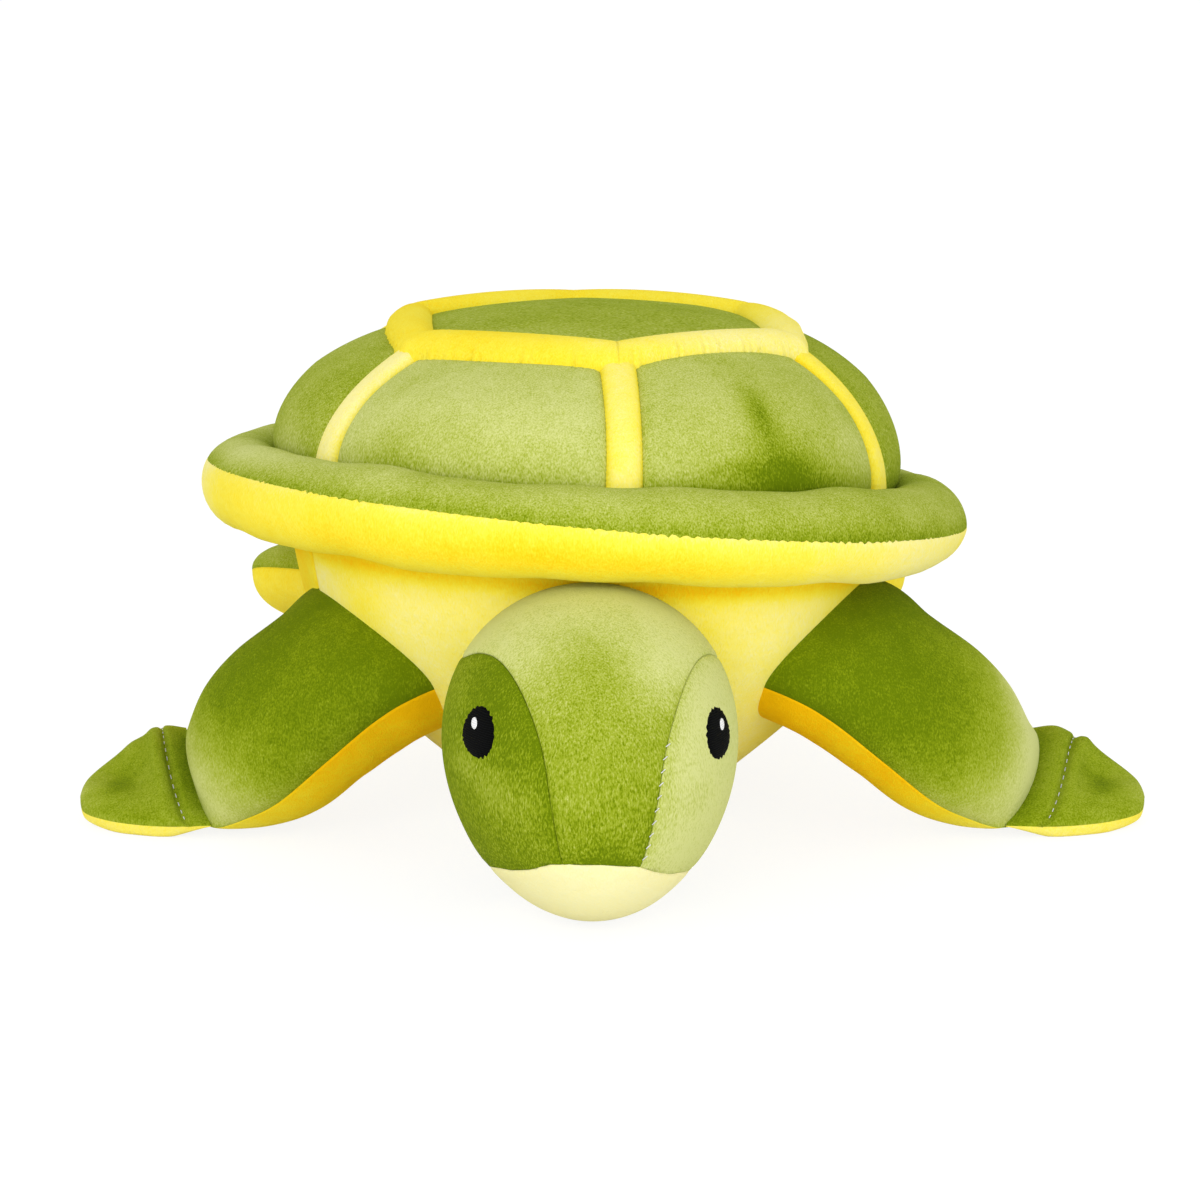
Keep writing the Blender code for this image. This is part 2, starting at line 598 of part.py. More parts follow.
def add_head(guides):
    half_seam = SEAM / 2 / HEAD_HALF_WIDTH
    overs = spread(-HEAD_WRAP, HEAD_WRAP, HEAD_COLUMNS)
    crown = overs[HEAD_COLUMNS // 3:]
    gusset = {depth: [[head_point(over, edge, -depth)
                       for edge in spread(-gusset_edge(over) + half_seam, gusset_edge(over) - half_seam, 6)]
                      for over in crown] for depth in (0, PLUSH)}
    pieces = [add_plate("head_gusset", gusset[0], gusset[PLUSH], "green_plush")]
    for name, sign in (("head_left_panel", -1), ("head_right_panel", 1)):
        rows = {}
        for depth in (0, PLUSH):
            rows[depth] = []
            for share in spread(0, 1, HEAD_ROWS):
                sides = [gusset_edge(over) + half_seam for over in overs]
                sides = [sign * (side + (math.pi / 2 - side) * share) for side in sides]
                rows[depth].append([head_point(over, side, -depth) for over, side in zip(overs, sides)])
            draw_to_pole(rows[depth])
        pieces.append(add_plate(name, rows[0], rows[PLUSH], "green_plush"))
    chin_rows = {depth: [[head_point(over, side, -depth) for side in spread(-CHIN_SIDE, CHIN_SIDE, 8)]
                         for over in spread(-CHIN_WRAP, CHIN_RISE, 12)]
                 for depth in (0, PLUSH)}
    chin = add_plate("chin_panel", chin_rows[0], chin_rows[PLUSH], "pale_yellow_plush")
    for piece in pieces:
        cut(piece, jaw_guide("above", SEAM / 2, -1))
    cut(chin, jaw_guide("below", -SEAM / 2, 1))
    filling = add_stuffing("head_filling", [[head_point(over, side, -PLUSH - STUFFING_GAP)
                                             for over in spread(0, 2 * math.pi, HEAD_COLUMNS)[:-1]]
                                            for side in spread(-CHEEK_END, CHEEK_END, 9)])
    neck = add_hinge("hinge_head", Vector((HEAD_SIDEWAYS, -NECK_FORWARD, HEAD_HEIGHT)), Vector((0, 0, 1)))
    for piece in pieces + [chin, filling]:
        flatten_on_table(piece)
        for guide in guides:
            cut(piece, guide)
        tidy_cut(piece)
        hang(piece, neck)
    for name, sign in (("left", -1), ("right", 1)):
        for piece in add_eye(name, sign):
            hang(piece, neck)


def jaw_guide(name, offset, facing):
    """A block whose one face is the jaw seam: it takes away what is below it or what is above."""
    size = 4 * HEAD_NOSE_LENGTH
    mesh_data = bmesh.new()
    bmesh.ops.create_cube(mesh_data, size=size)
    hinge = head_surface(0, 0)
    place = (HEAD_PLACE @ Matrix.Translation((0, hinge.y, hinge.z - JAW_DROP))
             @ Matrix.Rotation(-JAW_ANGLE, 4, "X")
             @ Matrix.Translation((0, 0, offset + facing * size / 2)))
    mesh_data.transform(place)
    found = bpy.data.objects.get("guide_jaw_" + name)
    if found:
        mesh_data.free()
        return found
    return as_guide(add_object("guide_jaw_" + name, mesh_data, "white_fibre"))


def oval_patch(name, centre_over, centre_side, width, height, lift, thickness, kind):
    """An embroidered oval that follows the cheek."""
    front, back = [], []
    for level in OVAL_LEVELS:
        outer_row, inner_row = [], []
        crown = thickness if level < 1 else thickness / 2
        for turn in spread(0, 2 * math.pi, OVAL_COLUMNS)[:-1]:
            over = centre_over + level * height / 2 * math.sin(turn) / (HEAD_HALF_DEPTH
                                                                       * math.cos(centre_side))
            side = centre_side + level * width / 2 * math.cos(turn) / HEAD_HALF_WIDTH
            outer_row.append(head_point(over, side, lift + crown))
            inner_row.append(head_point(over, side, lift))
        front.append(outer_row)
        back.append(inner_row)
    return add_plate(name, draw_to_pole(front), draw_to_pole(back), kind, closed=True)


def add_eye(name, sign):
    side = sign * math.asin(EYE_OUT / HEAD_HALF_WIDTH)
    eye = oval_patch("eye_" + name, EYE_UP_ANGLE, side, EYE_WIDTH, EYE_HEIGHT, THREAD_GAP, EYE_THICKNESS,
                     "black_thread")
    over = EYE_UP_ANGLE + HIGHLIGHT_UP / (HEAD_HALF_DEPTH * math.cos(side))
    highlight = oval_patch("eye_highlight_" + name, over, side, HIGHLIGHT_WIDTH, HIGHLIGHT_HEIGHT,
                           2 * THREAD_GAP + EYE_THICKNESS, HIGHLIGHT_THICKNESS, "white_thread")
    return eye, highlight


# Limbs

def smooth_place(places, share):
    """A point on the smooth curve through hand-picked places."""
    last = len(places) - 1
    index = min(int(share * last), last - 1)
    part = share * last - index
    before, here = places[max(index - 1, 0)], places[index]
    after, beyond = places[index + 1], places[min(index + 2, last)]
    return 0.5 * (2 * here + (after - before) * part
                  + (2 * before - 5 * here + 4 * after - beyond) * part ** 2
                  + (3 * here - before - 3 * after + beyond) * part ** 3)


def scaled(shares, side, reach, run, rise):
    return [Vector((side * across * reach, along * run, up * rise)) for across, along, up in shares]


def limb_section(limb, share):
    """Middle, half chord, unit normal and the two swells of a limb's section."""
    leading = smooth_place(limb["leading"], share)
    trailing = smooth_place(limb["trailing"], share)
    ahead = min(share + NUDGE, 1)
    behind = ahead - 2 * NUDGE
    middle_ahead = smooth_place(limb["leading"], ahead) + smooth_place(limb["trailing"], ahead)
    middle_behind = smooth_place(limb["leading"], behind) + smooth_place(limb["trailing"], behind)
    normal = (trailing - leading).cross(middle_ahead - middle_behind).normalized()
    if normal.z < 0:
        normal.negate()
    swell = max(smooth_place(limb["swells"], share), 0)
    upper = limb["edge"] + limb["upper_swell"] * swell
    lower = limb["edge"] + limb["lower_swell"] * swell
    return (leading + trailing) / 2, (trailing - leading) / 2, normal, upper, lower


def limb_row(limb, share, facing, inset, most=PANEL_SHARE):
    """Half of a limb's section, above or below its seam, drawn in by an inset or by most of its size."""
    middle, chord, normal, upper, lower = limb_section(limb, share)
    swell, fullness = (upper, 1) if facing > 0 else (lower, LOWER_FULLNESS)
    height = swell - min(inset, swell * most)
    width = chord.length - min(inset, chord.length * most)
    along = chord.normalized()
    base = middle + normal * (facing * SEAM / 2)
    return [base + along * (math.cos(turn) * width)
            + normal * (facing * max(math.sin(turn), 0) ** fullness * height)
            for turn in spread(0, math.pi, LIMB_HALF_COLUMNS)]


def limb_ring(limb, share, inset):
    """The whole section of a limb's stuffing."""
    top = limb_row(limb, share, 1, inset, STUFFING_SHARE)
    bottom = limb_row(limb, share, -1, inset, STUFFING_SHARE)
    return top[:-1] + bottom[::-1][:-1]


def add_limb(name, limb, rows, root_guide):
    """A limb of an upper panel, a lower panel and stuffing, its root cut by what it is sewn on."""
    pieces = []
    for part, facing, kind in (("upper", 1, "green_plush"), ("lower", -1, "yellow_plush")):
        shares = spread(0, 1, rows)
        front = [limb_row(limb, share, facing, 0) for share in shares]
        back = [limb_row(limb, share, facing, PLUSH) for share in shares]
        pieces.append(add_plate(f"{name}_{part}", front, back, kind))
    first, last = limb["stuffing"]
    shares = [first] + [share for share in spread(0, 1, rows) if first < share < last] + [last]
    rings = [limb_ring(limb, share, PLUSH + STUFFING_GAP) for share in shares]
    pieces.append(add_stuffing(name + "_filling", rings))
    for piece in pieces:
        flatten_on_table(piece)
        if root_guide:
            cut(piece, root_guide)
            tidy_cut(piece)
    return pieces


def front_flipper(name, side):
    """The puffed lobe of a front flipper, from the shoulder to the fold."""
    frame = (side, FLIPPER_REACH[name], -FLIPPER_FORWARD, FLIPPER_RISE)
    return {"leading": scaled(LOBE_LEADING_SHARES, *frame), "trailing": scaled(LOBE_TRAILING_SHARES, *frame),
            "swells": LOBE_SWELL_SHARES, "edge": FOLD_HALF_THICKNESS, "upper_swell": FLIPPER_UPPER_SWELL,
            "lower_swell": FLIPPER_LOWER_SWELL, "stuffing": LOBE_STUFFING_SHARES}


def flipper_tip(name, side):
    """The flat end past the fold, moved out by the fold's gap."""
    frame = (side, FLIPPER_REACH[name], -FLIPPER_FORWARD, FLIPPER_RISE)
    shift = Vector((side * FOLD_GAP, 0, 0))
    return {"leading": [place + shift for place in scaled(TIP_LEADING_SHARES, *frame)],
            "trailing": [place + shift for place in scaled(TIP_TRAILING_SHARES, *frame)],
            "swells": TIP_SWELL_SHARES, "edge": FOLD_HALF_THICKNESS, "upper_swell": TIP_UPPER_SWELL,
            "lower_swell": TIP_LOWER_SWELL, "stuffing": TIP_STUFFING_SHARES}


def rear_flipper(name, side):
    frame = (side, REAR_REACH[name], REAR_BACK, REAR_RISE)
    return {"leading": scaled(REAR_LEADING_SHARES, *frame), "trailing": scaled(REAR_TRAILING_SHARES, *frame),
            "swells": REAR_SWELL_SHARES, "edge": FOLD_HALF_THICKNESS, "upper_swell": REAR_UPPER_SWELL,
            "lower_swell": REAR_LOWER_SWELL, "stuffing": REAR_STUFFING_SHARES}


def seam_hinge(name, limb, share, out, side):
    """A hinge along the upper seam of a limb's root; turning it forward lifts the limb."""
    middle, chord, normal, upper, _ = limb_section(limb, share)
    return add_hinge(name, middle + normal * (upper + out), chord * -side)


def add_limbs(guide):
    for name, side in (("left", -1), ("right", 1)):
        lobe, tip, rear = front_flipper(name, side), flipper_tip(name, side), rear_flipper(name, side)
        shoulder = seam_hinge("hinge_front_flipper_" + name, lobe, SHOULDER_SHARE, SHOULDER_OUT, side)
        for piece in add_limb("front_flipper_" + name, lobe, LOBE_ROWS, guide):
            hang(piece, shoulder)
        fold_middle, fold_chord = limb_section(tip, 0)[:2]
        fold_place = fold_middle - Vector((side * FOLD_GAP / 2, 0, 0))
        fold = add_hinge("hinge_flipper_tip_" + name, fold_place, fold_chord * -side, shoulder)
        for piece in add_limb("flipper_tip_" + name, tip, TIP_ROWS, None):
            hang(piece, fold)
        hip = seam_hinge("hinge_rear_flipper_" + name, rear, HIP_SHARE, HIP_OUT, side)
        for piece in add_limb("rear_flipper_" + name, rear, LOBE_ROWS - 2, guide):
            hang(piece, hip)


def main():
    clear_scene()
    add_crown_panel()
    add_band()
    for index in range(PANEL_COUNT):
        add_side_panel(index)
        add_rib(index)
    add_shell_filling()
    add_brim()
    add_body()
    guide = body_guide("guide_body", SEAM, 0)
    add_head([guide, body_guide("guide_body_turned_left", SEAM, HEAD_TURN),
              body_guide("guide_body_turned_right", SEAM, -HEAD_TURN)])
    add_limbs(guide)


main()
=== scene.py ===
# %% [markdown]
# # A plush turtle, sewn from its pattern pieces
#
# The toy in the photograph is a stuffed turtle of short-pile plush: a domed shell of green panels with
# padded yellow strips between them, a fat stuffed roll round its edge, a yellow bag for a body, an egg
# of a head and four flippers. Everything on it is a flat piece of fabric that stuffing has swollen.
#
# So this lesson works as the maker does. Each visible piece starts as a flat grid, the pattern piece.
# A short function says where each point of the pattern lies on the stuffed form, the edges turn in at
# the seams, and modifiers give the fabric its thickness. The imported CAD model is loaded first. It is
# the frame that everything follows, and each soft solid of it is hidden by the piece that replaces it.

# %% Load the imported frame
import math
from contextlib import contextmanager
from functools import partial
import bpy
import numpy as np
from mathutils import Matrix, Vector


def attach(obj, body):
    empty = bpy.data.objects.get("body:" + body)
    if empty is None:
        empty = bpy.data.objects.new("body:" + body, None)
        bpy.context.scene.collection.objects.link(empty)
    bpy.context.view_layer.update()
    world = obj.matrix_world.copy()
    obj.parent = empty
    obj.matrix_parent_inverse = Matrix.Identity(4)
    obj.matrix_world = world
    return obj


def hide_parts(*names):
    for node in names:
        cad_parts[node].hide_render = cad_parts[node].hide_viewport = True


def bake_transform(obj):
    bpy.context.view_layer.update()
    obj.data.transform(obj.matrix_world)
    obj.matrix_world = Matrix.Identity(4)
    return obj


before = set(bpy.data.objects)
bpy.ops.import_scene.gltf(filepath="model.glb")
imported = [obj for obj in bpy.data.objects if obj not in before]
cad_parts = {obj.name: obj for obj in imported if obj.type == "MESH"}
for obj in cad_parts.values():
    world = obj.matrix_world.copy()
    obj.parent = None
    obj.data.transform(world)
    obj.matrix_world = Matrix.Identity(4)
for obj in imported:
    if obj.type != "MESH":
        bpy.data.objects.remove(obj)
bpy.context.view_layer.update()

# %% [markdown]
# ## From a flat pattern piece to a stuffed panel
#
# A grid primitive is the flat pattern piece, and it brings its UV map. Where a panel ends it dives into
# the seam: the thread pulls the edge down, and the stuffing pushes the middle up. The helper below
# measures, along the form, how far each point is from the nearest seam, and drops it along a quarter
# circle. Moving vertices by hand would take hours, and a sculpted blob would have no seams.

# %% Sew a pattern piece onto its form
SEAM_RADIUS = 0.0048
SEAM_DEPTH = 0.0026
SEAM_SHADE, SEAM_SHADE_WIDTH = 0.12, 0.0022
FABRIC = 0.0022
FLOOR_GAP = FABRIC * 0.02
CLOSE = 0.00002
FAR = 1.0
TINY_AREA, TINY_LENGTH = 1e-12, 1e-9
TUFT_WAVES, TUFT_HEIGHT = ((1, 0.0), (0.83, 1.0), (1.31, 2.5), (1.15, 4.0)), 1 / 2.2
SIDES = (("left", -1), ("right", 1))


def deselect_all():
    bpy.ops.object.select_all(action="DESELECT")


@contextmanager
def editing(piece):
    """Edit mode on one piece, with the whole of it selected."""
    deselect_all()
    piece.select_set(True)
    bpy.context.view_layer.objects.active = piece
    bpy.ops.object.mode_set(mode="EDIT")
    bpy.ops.mesh.select_all(action="SELECT")
    yield
    bpy.ops.object.mode_set(mode="OBJECT")


def read_points(mesh, what="co"):
    """A mesh's points, or its normals, as rows of x, y and z."""
    values = np.empty(len(mesh.vertices) * 3)
    mesh.vertices.foreach_get(what, values)
    return values.reshape(-1, 3)


def move_points(mesh, points):
    mesh.vertices.foreach_set("co", points.ravel())
    mesh.update()


def unit(vectors, least=TINY_LENGTH):
    """Arrows brought to a length of 1."""
    return vectors / np.maximum(np.linalg.norm(vectors, axis=-1, keepdims=True), least)


def link(thing):
    bpy.context.scene.collection.objects.link(thing)


def apply_modifier(piece, kind, **settings):
    bpy.context.view_layer.objects.active = piece
    modifier = piece.modifiers.new(kind.lower(), kind)
    for key, value in settings.items():
        setattr(modifier, key, value)
    bpy.ops.object.modifier_apply(modifier=modifier.name)


def edge_spacing(count, ease):
    """Shares from 0 to 1, closer together at both ends, where the seams turn in."""
    even = np.linspace(0, 1, count + 1)
    return even - ease * np.sin(2 * math.pi * even) / (2 * math.pi)


def form_normals(base, middle):
    """Unit normals of a grid of points, pointing away from the form's middle."""
    normal = unit(np.cross(np.gradient(base, axis=1), np.gradient(base, axis=0)), TINY_AREA)
    outward = np.sign((normal * (base - middle)).sum(axis=2, keepdims=True))
    for row, inner in ((0, 1), (-1, -2)):
        shrinks_to_a_point = np.linalg.norm(base[row] - base[row][0], axis=1).max() < CLOSE
        if shrinks_to_a_point:
            normal[row] = unit((normal * outward)[inner].mean(axis=0))
            outward[row] = 1
    return normal * outward


def seam_distance(base, seams):
    """How far each point lies from the nearest of the named edges: left, right, low or top."""
    across = np.cumsum(np.linalg.norm(np.diff(base, axis=1), axis=2), axis=1)
    along = np.cumsum(np.linalg.norm(np.diff(base, axis=0), axis=2), axis=0)
    left, low = np.pad(across, ((0, 0), (1, 0))), np.pad(along, ((1, 0), (0, 0)))
    edges = {"left": left, "right": left[:, -1:] - left, "low": low, "top": low[-1:] - low}
    return np.minimum.reduce([np.full(left.shape, FAR)] + [edges[seam] for seam in seams])


def ragged(share, count):
    """An uneven wave about zero, for edges where tufts of pile hang over a seam."""
    turn = 2 * math.pi * share
    return sum(np.sin(turn * round(count * rate) + shift) for rate, shift in TUFT_WAVES) * TUFT_HEIGHT


def soft_spot(aside, ahead):
    """1 at a spot's middle, and falling off softly with the distance, given in widths and lengths."""
    return np.exp(-aside ** 2 - ahead ** 2)


def brushed(across, along, level, strokes):
    """How the pile lies, with painted shade where a stroke darkens it: 0 shows the deep colour between the
    fibres, 1 shows the pale tips.
    """
    nap = np.full(across.shape, float(level))
    for middle_across, middle_along, width, length, amount in strokes:
        aside = ((across - middle_across + 0.5) % 1 - 0.5) / width
        ahead = (along - middle_along) / length
        nap = nap + amount * soft_spot(aside, ahead)
    return nap


def sew_panel(name, place, columns, rows, middle, seams=(), puff=None, ease=0.6, line=None, floor=False,
              radius=SEAM_RADIUS, depth=SEAM_DEPTH, nap=(0.5, ())):
    """A grid wrapped onto a form. place and puff take arrays of shares across and along the piece."""
    deselect_all()
    bpy.ops.mesh.primitive_grid_add(x_subdivisions=columns, y_subdivisions=rows, size=1)
    piece = bpy.context.active_object
    piece.name = piece.data.name = name
    flat = read_points(piece.data)
    column = np.rint((flat[:, 0] + 0.5) * columns).astype(int)
    row = np.rint((flat[:, 1] + 0.5) * rows).astype(int)
    across, along = np.meshgrid(edge_spacing(columns, ease), edge_spacing(rows, ease))
    base = place(across, along)
    normal = form_normals(base, np.array(middle))
    nearest = seam_distance(base, seams)
    if line is not None:
        nearest = np.minimum(nearest, line(base))
    turn_in = np.clip(1 - nearest / radius, 0, 1)
    rise = depth * (np.sqrt(1 - turn_in ** 2) - 1)
    if puff is not None:
        rise = rise + puff(across, along)
    sewn = base + normal * rise[:, :, None]
    if floor:
        sewn[:, :, 2] = np.maximum(sewn[:, :, 2], FLOOR_GAP)
    move_points(piece.data, sewn[row, column])
    # Painted shade: the colour is darkened close to each seam, where the cloth dives into the fold, and
    # stored with how the pile is brushed.
    painted_seam_shade = SEAM_SHADE * np.exp(-nearest / SEAM_SHADE_WIDTH)
    pile_lie_and_shade = (brushed(across, along, *nap) - painted_seam_shade)[row, column]
    piece.data.attributes.new("nap", "FLOAT", "POINT").data.foreach_set("value", pile_lie_and_shade.astype(np.float32))
    faces_inwards = (read_points(piece.data, "normal") * normal[row, column]).sum() < 0
    with editing(piece):
        if faces_inwards:
            bpy.ops.mesh.flip_normals()
        bpy.ops.mesh.remove_doubles(threshold=CLOSE)
    return piece


def line_fabric(piece, thickness=FABRIC):
    """Give a sewn piece the fabric's thickness, inwards, and smooth shading."""
    apply_modifier(piece, "SOLIDIFY", thickness=thickness, offset=-1, use_even_offset=False)
    bpy.ops.object.shade_smooth()
    print(piece.name, len(piece.data.polygons), "faces")
    return piece


STITCH_SIDES, STITCH_BEVEL, STITCH_FLATNESS = 8, 0.22, 0.7
THREAD = 0.00042
SAMPLE_STEP = 0.002


def points_on(place, puff, middle, across, along, lift):
    """Points on a sewn surface and its normals there, for shares across and along."""
    point = place(across, along)
    aside = place(across + SAMPLE_STEP, along) - place(across - SAMPLE_STEP, along)
    ahead = place(across, along + SAMPLE_STEP) - place(across, along - SAMPLE_STEP)
    normal = unit(np.cross(aside, ahead))
    normal = normal * np.sign((normal * (point - np.array(middle))).sum(axis=-1, keepdims=True))
    height = (puff(across, along) if puff else 0 * across) + lift
    return point + normal * height[..., None], normal


def add_stitches(name, surface, starts, ends, lift):
    """One stitch is modelled as a short rod of thread, and copied to each place in a row."""
    start_points, normals = points_on(*surface, *starts, lift)
    end_points, _ = points_on(*surface, *ends, lift)
    bpy.ops.mesh.primitive_cylinder_add(vertices=STITCH_SIDES, radius=0.5, depth=1)
    first = bpy.context.active_object
    with editing(first):
        bpy.ops.mesh.bevel(offset=STITCH_BEVEL, segments=2, affect="EDGES")
    copies = [first] + [first.copy() for _ in normals[1:]]
    for stitch in copies[1:]:
        stitch.data = first.data.copy()
        link(stitch)
    for stitch, start, end, normal in zip(copies, start_points, end_points, normals):
        along = Vector(end) - Vector(start)
        side = Vector(normal).cross(along).normalized() * THREAD
        out = along.cross(side).normalized() * THREAD * STITCH_FLATNESS
        turned = Matrix((side, out, along)).transposed().to_4x4()
        stitch.data.transform(Matrix.Translation((Vector(start) + Vector(end)) / 2) @ turned)
        stitch.select_set(True)
    bpy.ops.object.join()
    first.name = first.data.name = name
    with editing(first):
        bpy.ops.mesh.normals_make_consistent(inside=False)
    bpy.ops.object.shade_smooth()
    print(name, len(copies), "stitches")
    return first


def on_form(matrix, x, y, z):
    """Carry arrays of places on a form into the world."""
    turned = np.array(matrix.to_3x3())
    return np.stack(np.broadcast_arrays(x, y, z), axis=-1) @ turned.T + np.array(matrix.translation)


# %% [markdown]
# ## Short-pile plush
#
# Plush is a knitted backing with a dense pile about 2 mm long. Brushed one way it shows the pale tips,
# brushed the other way the deep colour between them, so one fabric has pale and dark patches with soft
# borders. A plain colour would look like plastic. So each piece carries a value for how its pile is brushed,
# laid on with a few broad strokes, and the material turns it into colour with a ramp. Some strokes, and
# the darkening along the seams, are painted shade instead: the ramp's deep colour stands in for shade at
# the dome's foot, on the roll, under the roll, round the head, beneath the flippers and at the rib edges.
# Fine noise, drawn out along the fibres, breaks the borders up and drives the bump.

# %% Mix the plush materials
WHITE = (1, 1, 1, 1)
CLUMP_SWING, FIBRE_SWING = 0.26, 1.35


def feed(node, inputs):
    """Fill a node's inputs: a socket is linked, anything else is a plain value."""
    for socket, value in inputs.items():
        if isinstance(value, bpy.types.NodeSocket):
            node.id_data.links.new(value, node.inputs[socket])
        else:
            node.inputs[socket].default_value = value


def add_node(tree, kind, inputs=None, **settings):
    node = tree.nodes.new("ShaderNode" + kind)
    for key, value in settings.items():
        setattr(node, key, value)
    feed(node, inputs or {})
    return node


def new_material(name):
    """A new material, its node tree and its main shader."""
    made = bpy.data.materials.new(name)
    made.use_nodes = True
    return made, made.node_tree, made.node_tree.nodes["Principled BSDF"]


def colour_mix(tree, factor, first, second):
    return add_node(tree, "Mix", {0: factor, 6: first, 7: second}, data_type="RGBA").outputs[2]


def maths(tree, operation, first, second):
    return add_node(tree, "Math", {0: first, 1: second}, operation=operation).outputs[0]


def noise(tree, place, scale, detail, roughness, distortion):
    return add_node(tree, "TexNoise", {"Vector": place, "Scale": scale, "Detail": detail,
                                       "Roughness": roughness, "Distortion": distortion}).outputs["Fac"]


def swing(tree, value, amount):
    """A noise as a swing to both sides of zero."""
    return maths(tree, "MULTIPLY", maths(tree, "SUBTRACT", value, 0.5), amount)


def object_place(tree):
    return add_node(tree, "TexCoord").outputs["Object"]


def plush(name, ramp, shift=(0, 0, 0), patches=0.5, sheen=0.04, fibres=1.0, along=(1, 1, 0.35)):
    """Brushed plush. ramp lists the colours from deep to pale, along gives the pile's direction."""
    made, tree, shader = new_material(name)
    placed = add_node(tree, "Mapping", {"Vector": object_place(tree), "Location": shift}).outputs["Vector"]
    stretched = add_node(tree, "Mapping", {"Vector": placed, "Scale": along}).outputs["Vector"]
    patch = noise(tree, placed, scale=22.0, detail=2.0, roughness=0.5, distortion=0.6)
    clump = noise(tree, placed, scale=190.0, detail=3.0, roughness=0.6, distortion=0.5)
    fibre = noise(tree, stretched, scale=1750.0, detail=2.0, roughness=0.6, distortion=0.2)
    # The stored value holds how the pile is brushed and the painted shade; the ramp turns both into colour.
    lie_and_shade = add_node(tree, "Attribute", attribute_name="nap").outputs["Fac"]
    for texture, amount in ((patch, patches), (clump, CLUMP_SWING), (fibre, FIBRE_SWING * fibres)):
        lie_and_shade = maths(tree, "ADD", lie_and_shade, swing(tree, texture, amount))
    colours = add_node(tree, "ValToRGB", {"Fac": lie_and_shade})
    stops = colours.color_ramp.elements
    while len(stops) < len(ramp):
        stops.new(0.5)
    for index, colour in enumerate(ramp):
        stops[index].position = index / (len(ramp) - 1)
        stops[index].color = (*colour, 1)
    height = maths(tree, "ADD", maths(tree, "MULTIPLY", fibre, 0.55), maths(tree, "MULTIPLY", clump, 0.6))
    bump = add_node(tree, "Bump", {"Height": height, "Strength": 0.7, "Distance": 0.0010})
    feed(shader, {"Base Color": colours.outputs["Color"], "Roughness": 0.97, "Specular IOR Level": 0.02,
                  "Sheen Weight": sheen, "Sheen Roughness": 0.5, "Sheen Tint": (*ramp[-1], 1),
                  "Normal": bump.outputs["Normal"]})
    return made


GREEN = ((0.125, 0.190, 0.002), (0.225, 0.300, 0.006), (0.325, 0.395, 0.030), (0.440, 0.495, 0.090),
         (0.545, 0.590, 0.170), (0.640, 0.670, 0.255))
YELLOW = ((0.97, 0.53, 0.003), (0.95, 0.65, 0.011), (0.945, 0.755, 0.035), (0.960, 0.815, 0.075),
          (0.960, 0.848, 0.180), (0.955, 0.875, 0.350))
PALE_YELLOW = ((0.93, 0.80, 0.16), (0.94, 0.85, 0.32), (0.94, 0.88, 0.45), (0.93, 0.90, 0.55))
green_panel = plush("brushed green plush", GREEN, along=(1, 1, 0.4))
green_crown = plush("crown green plush", GREEN, (0.3, 0.1, 0), 0.3, along=(0.5, 1, 1))
green_brim = plush("rim green plush", GREEN, (0.1, 0.4, 0.2), along=(1, 1, 0.6))
green_limb = plush("flipper green plush", GREEN, (0.2, 0.2, 0.1), 0.35, fibres=0.65, along=(1, 1, 0.5))
green_head = plush("head green plush", GREEN, (0.05, 0.3, 0.4), 0.35)
yellow_strip = plush("strip yellow plush", YELLOW, sheen=0.02, patches=0.35, fibres=0.5)
yellow_body = plush("body yellow plush", YELLOW, (0.2, 0, 0.3), 0.45, sheen=0.02, fibres=0.4)
pale_chin = plush("chin pale yellow plush", PALE_YELLOW, (0.1, 0, 0), 0.3, sheen=0.02, fibres=0.5)
print("plush materials mixed")


def dress(piece, finish, body, slot_name, *nodes, fill=0.8):
    """Hand a finished piece to its body and hide the CAD nodes that it stands for. slot_name, its record
    slot, is not used.
    """
    piece.data.materials.clear()
    piece.data.materials.append(finish)
    if body:
        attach(piece, body)
    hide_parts(*nodes)


def cover(node, finish, slot_name, place, columns, rows, middle, body="torso", what="cloth",
          thickness=FABRIC, fill=0.8, **cut):
    """Sew, line and dress the piece that stands for one CAD node."""
    piece = sew_panel(f"{node}_{what}", place, columns, rows, middle, **cut)
    dress(line_fabric(piece, thickness), finish, body, slot_name, node, fill=fill)
    return piece


# %% [markdown]
# ## The shell
#
# The dome is an oval cap whose crown is a hexagon, with a point to the front. It sits on the roll with a
# slight twist, as hand-sewn toys do. Its surface is a function of the angle round the shell and of the
# rise from the roll to the top, so one function makes all six side panels, each between two ribs. The
# numbers below are the same as the solids'.

# %% The dome's surface
SHELL_YAW, SHELL_PITCH, SHELL_ROLL = math.radians(6), math.radians(-6.3), math.radians(3.8)
CROWN_PITCH = math.radians(-1.5)
SHELL_SIDEWAYS = -0.005
BRIM_HEIGHT, BRIM_HALF_WIDTH, BRIM_HALF_LENGTH, BRIM_RADIUS = 0.1190, 0.1325, 0.148, 0.0170
BRIM_TUCK_ANGLE = math.radians(150)
CLOTH = 0.0026
SHELL_PLACE = (Matrix.Translation((SHELL_SIDEWAYS, 0, BRIM_HEIGHT)) @ Matrix.Rotation(SHELL_YAW, 4, "Z")
               @ Matrix.Rotation(SHELL_PITCH, 4, "X") @ Matrix.Rotation(SHELL_ROLL, 4, "Y"))
BRIM_TUCK = BRIM_RADIUS * math.cos(BRIM_TUCK_ANGLE)
SHELL_HALF_WIDTH = BRIM_HALF_WIDTH + BRIM_TUCK + CLOTH / 2
SHELL_HALF_LENGTH = BRIM_HALF_LENGTH + BRIM_TUCK + CLOTH / 2
SHELL_LIFT = BRIM_RADIUS * math.sin(BRIM_TUCK_ANGLE) + CLOTH
DOME_HEIGHT, DOME_BULGE, DOME_DROP = 0.069, 2.15, 1.95
CROWN_HALF_WIDTH, CROWN_STRETCH, CROWN_FORWARD, CROWN_FLATNESS = 0.077, 0.07, 0.003, 0.45
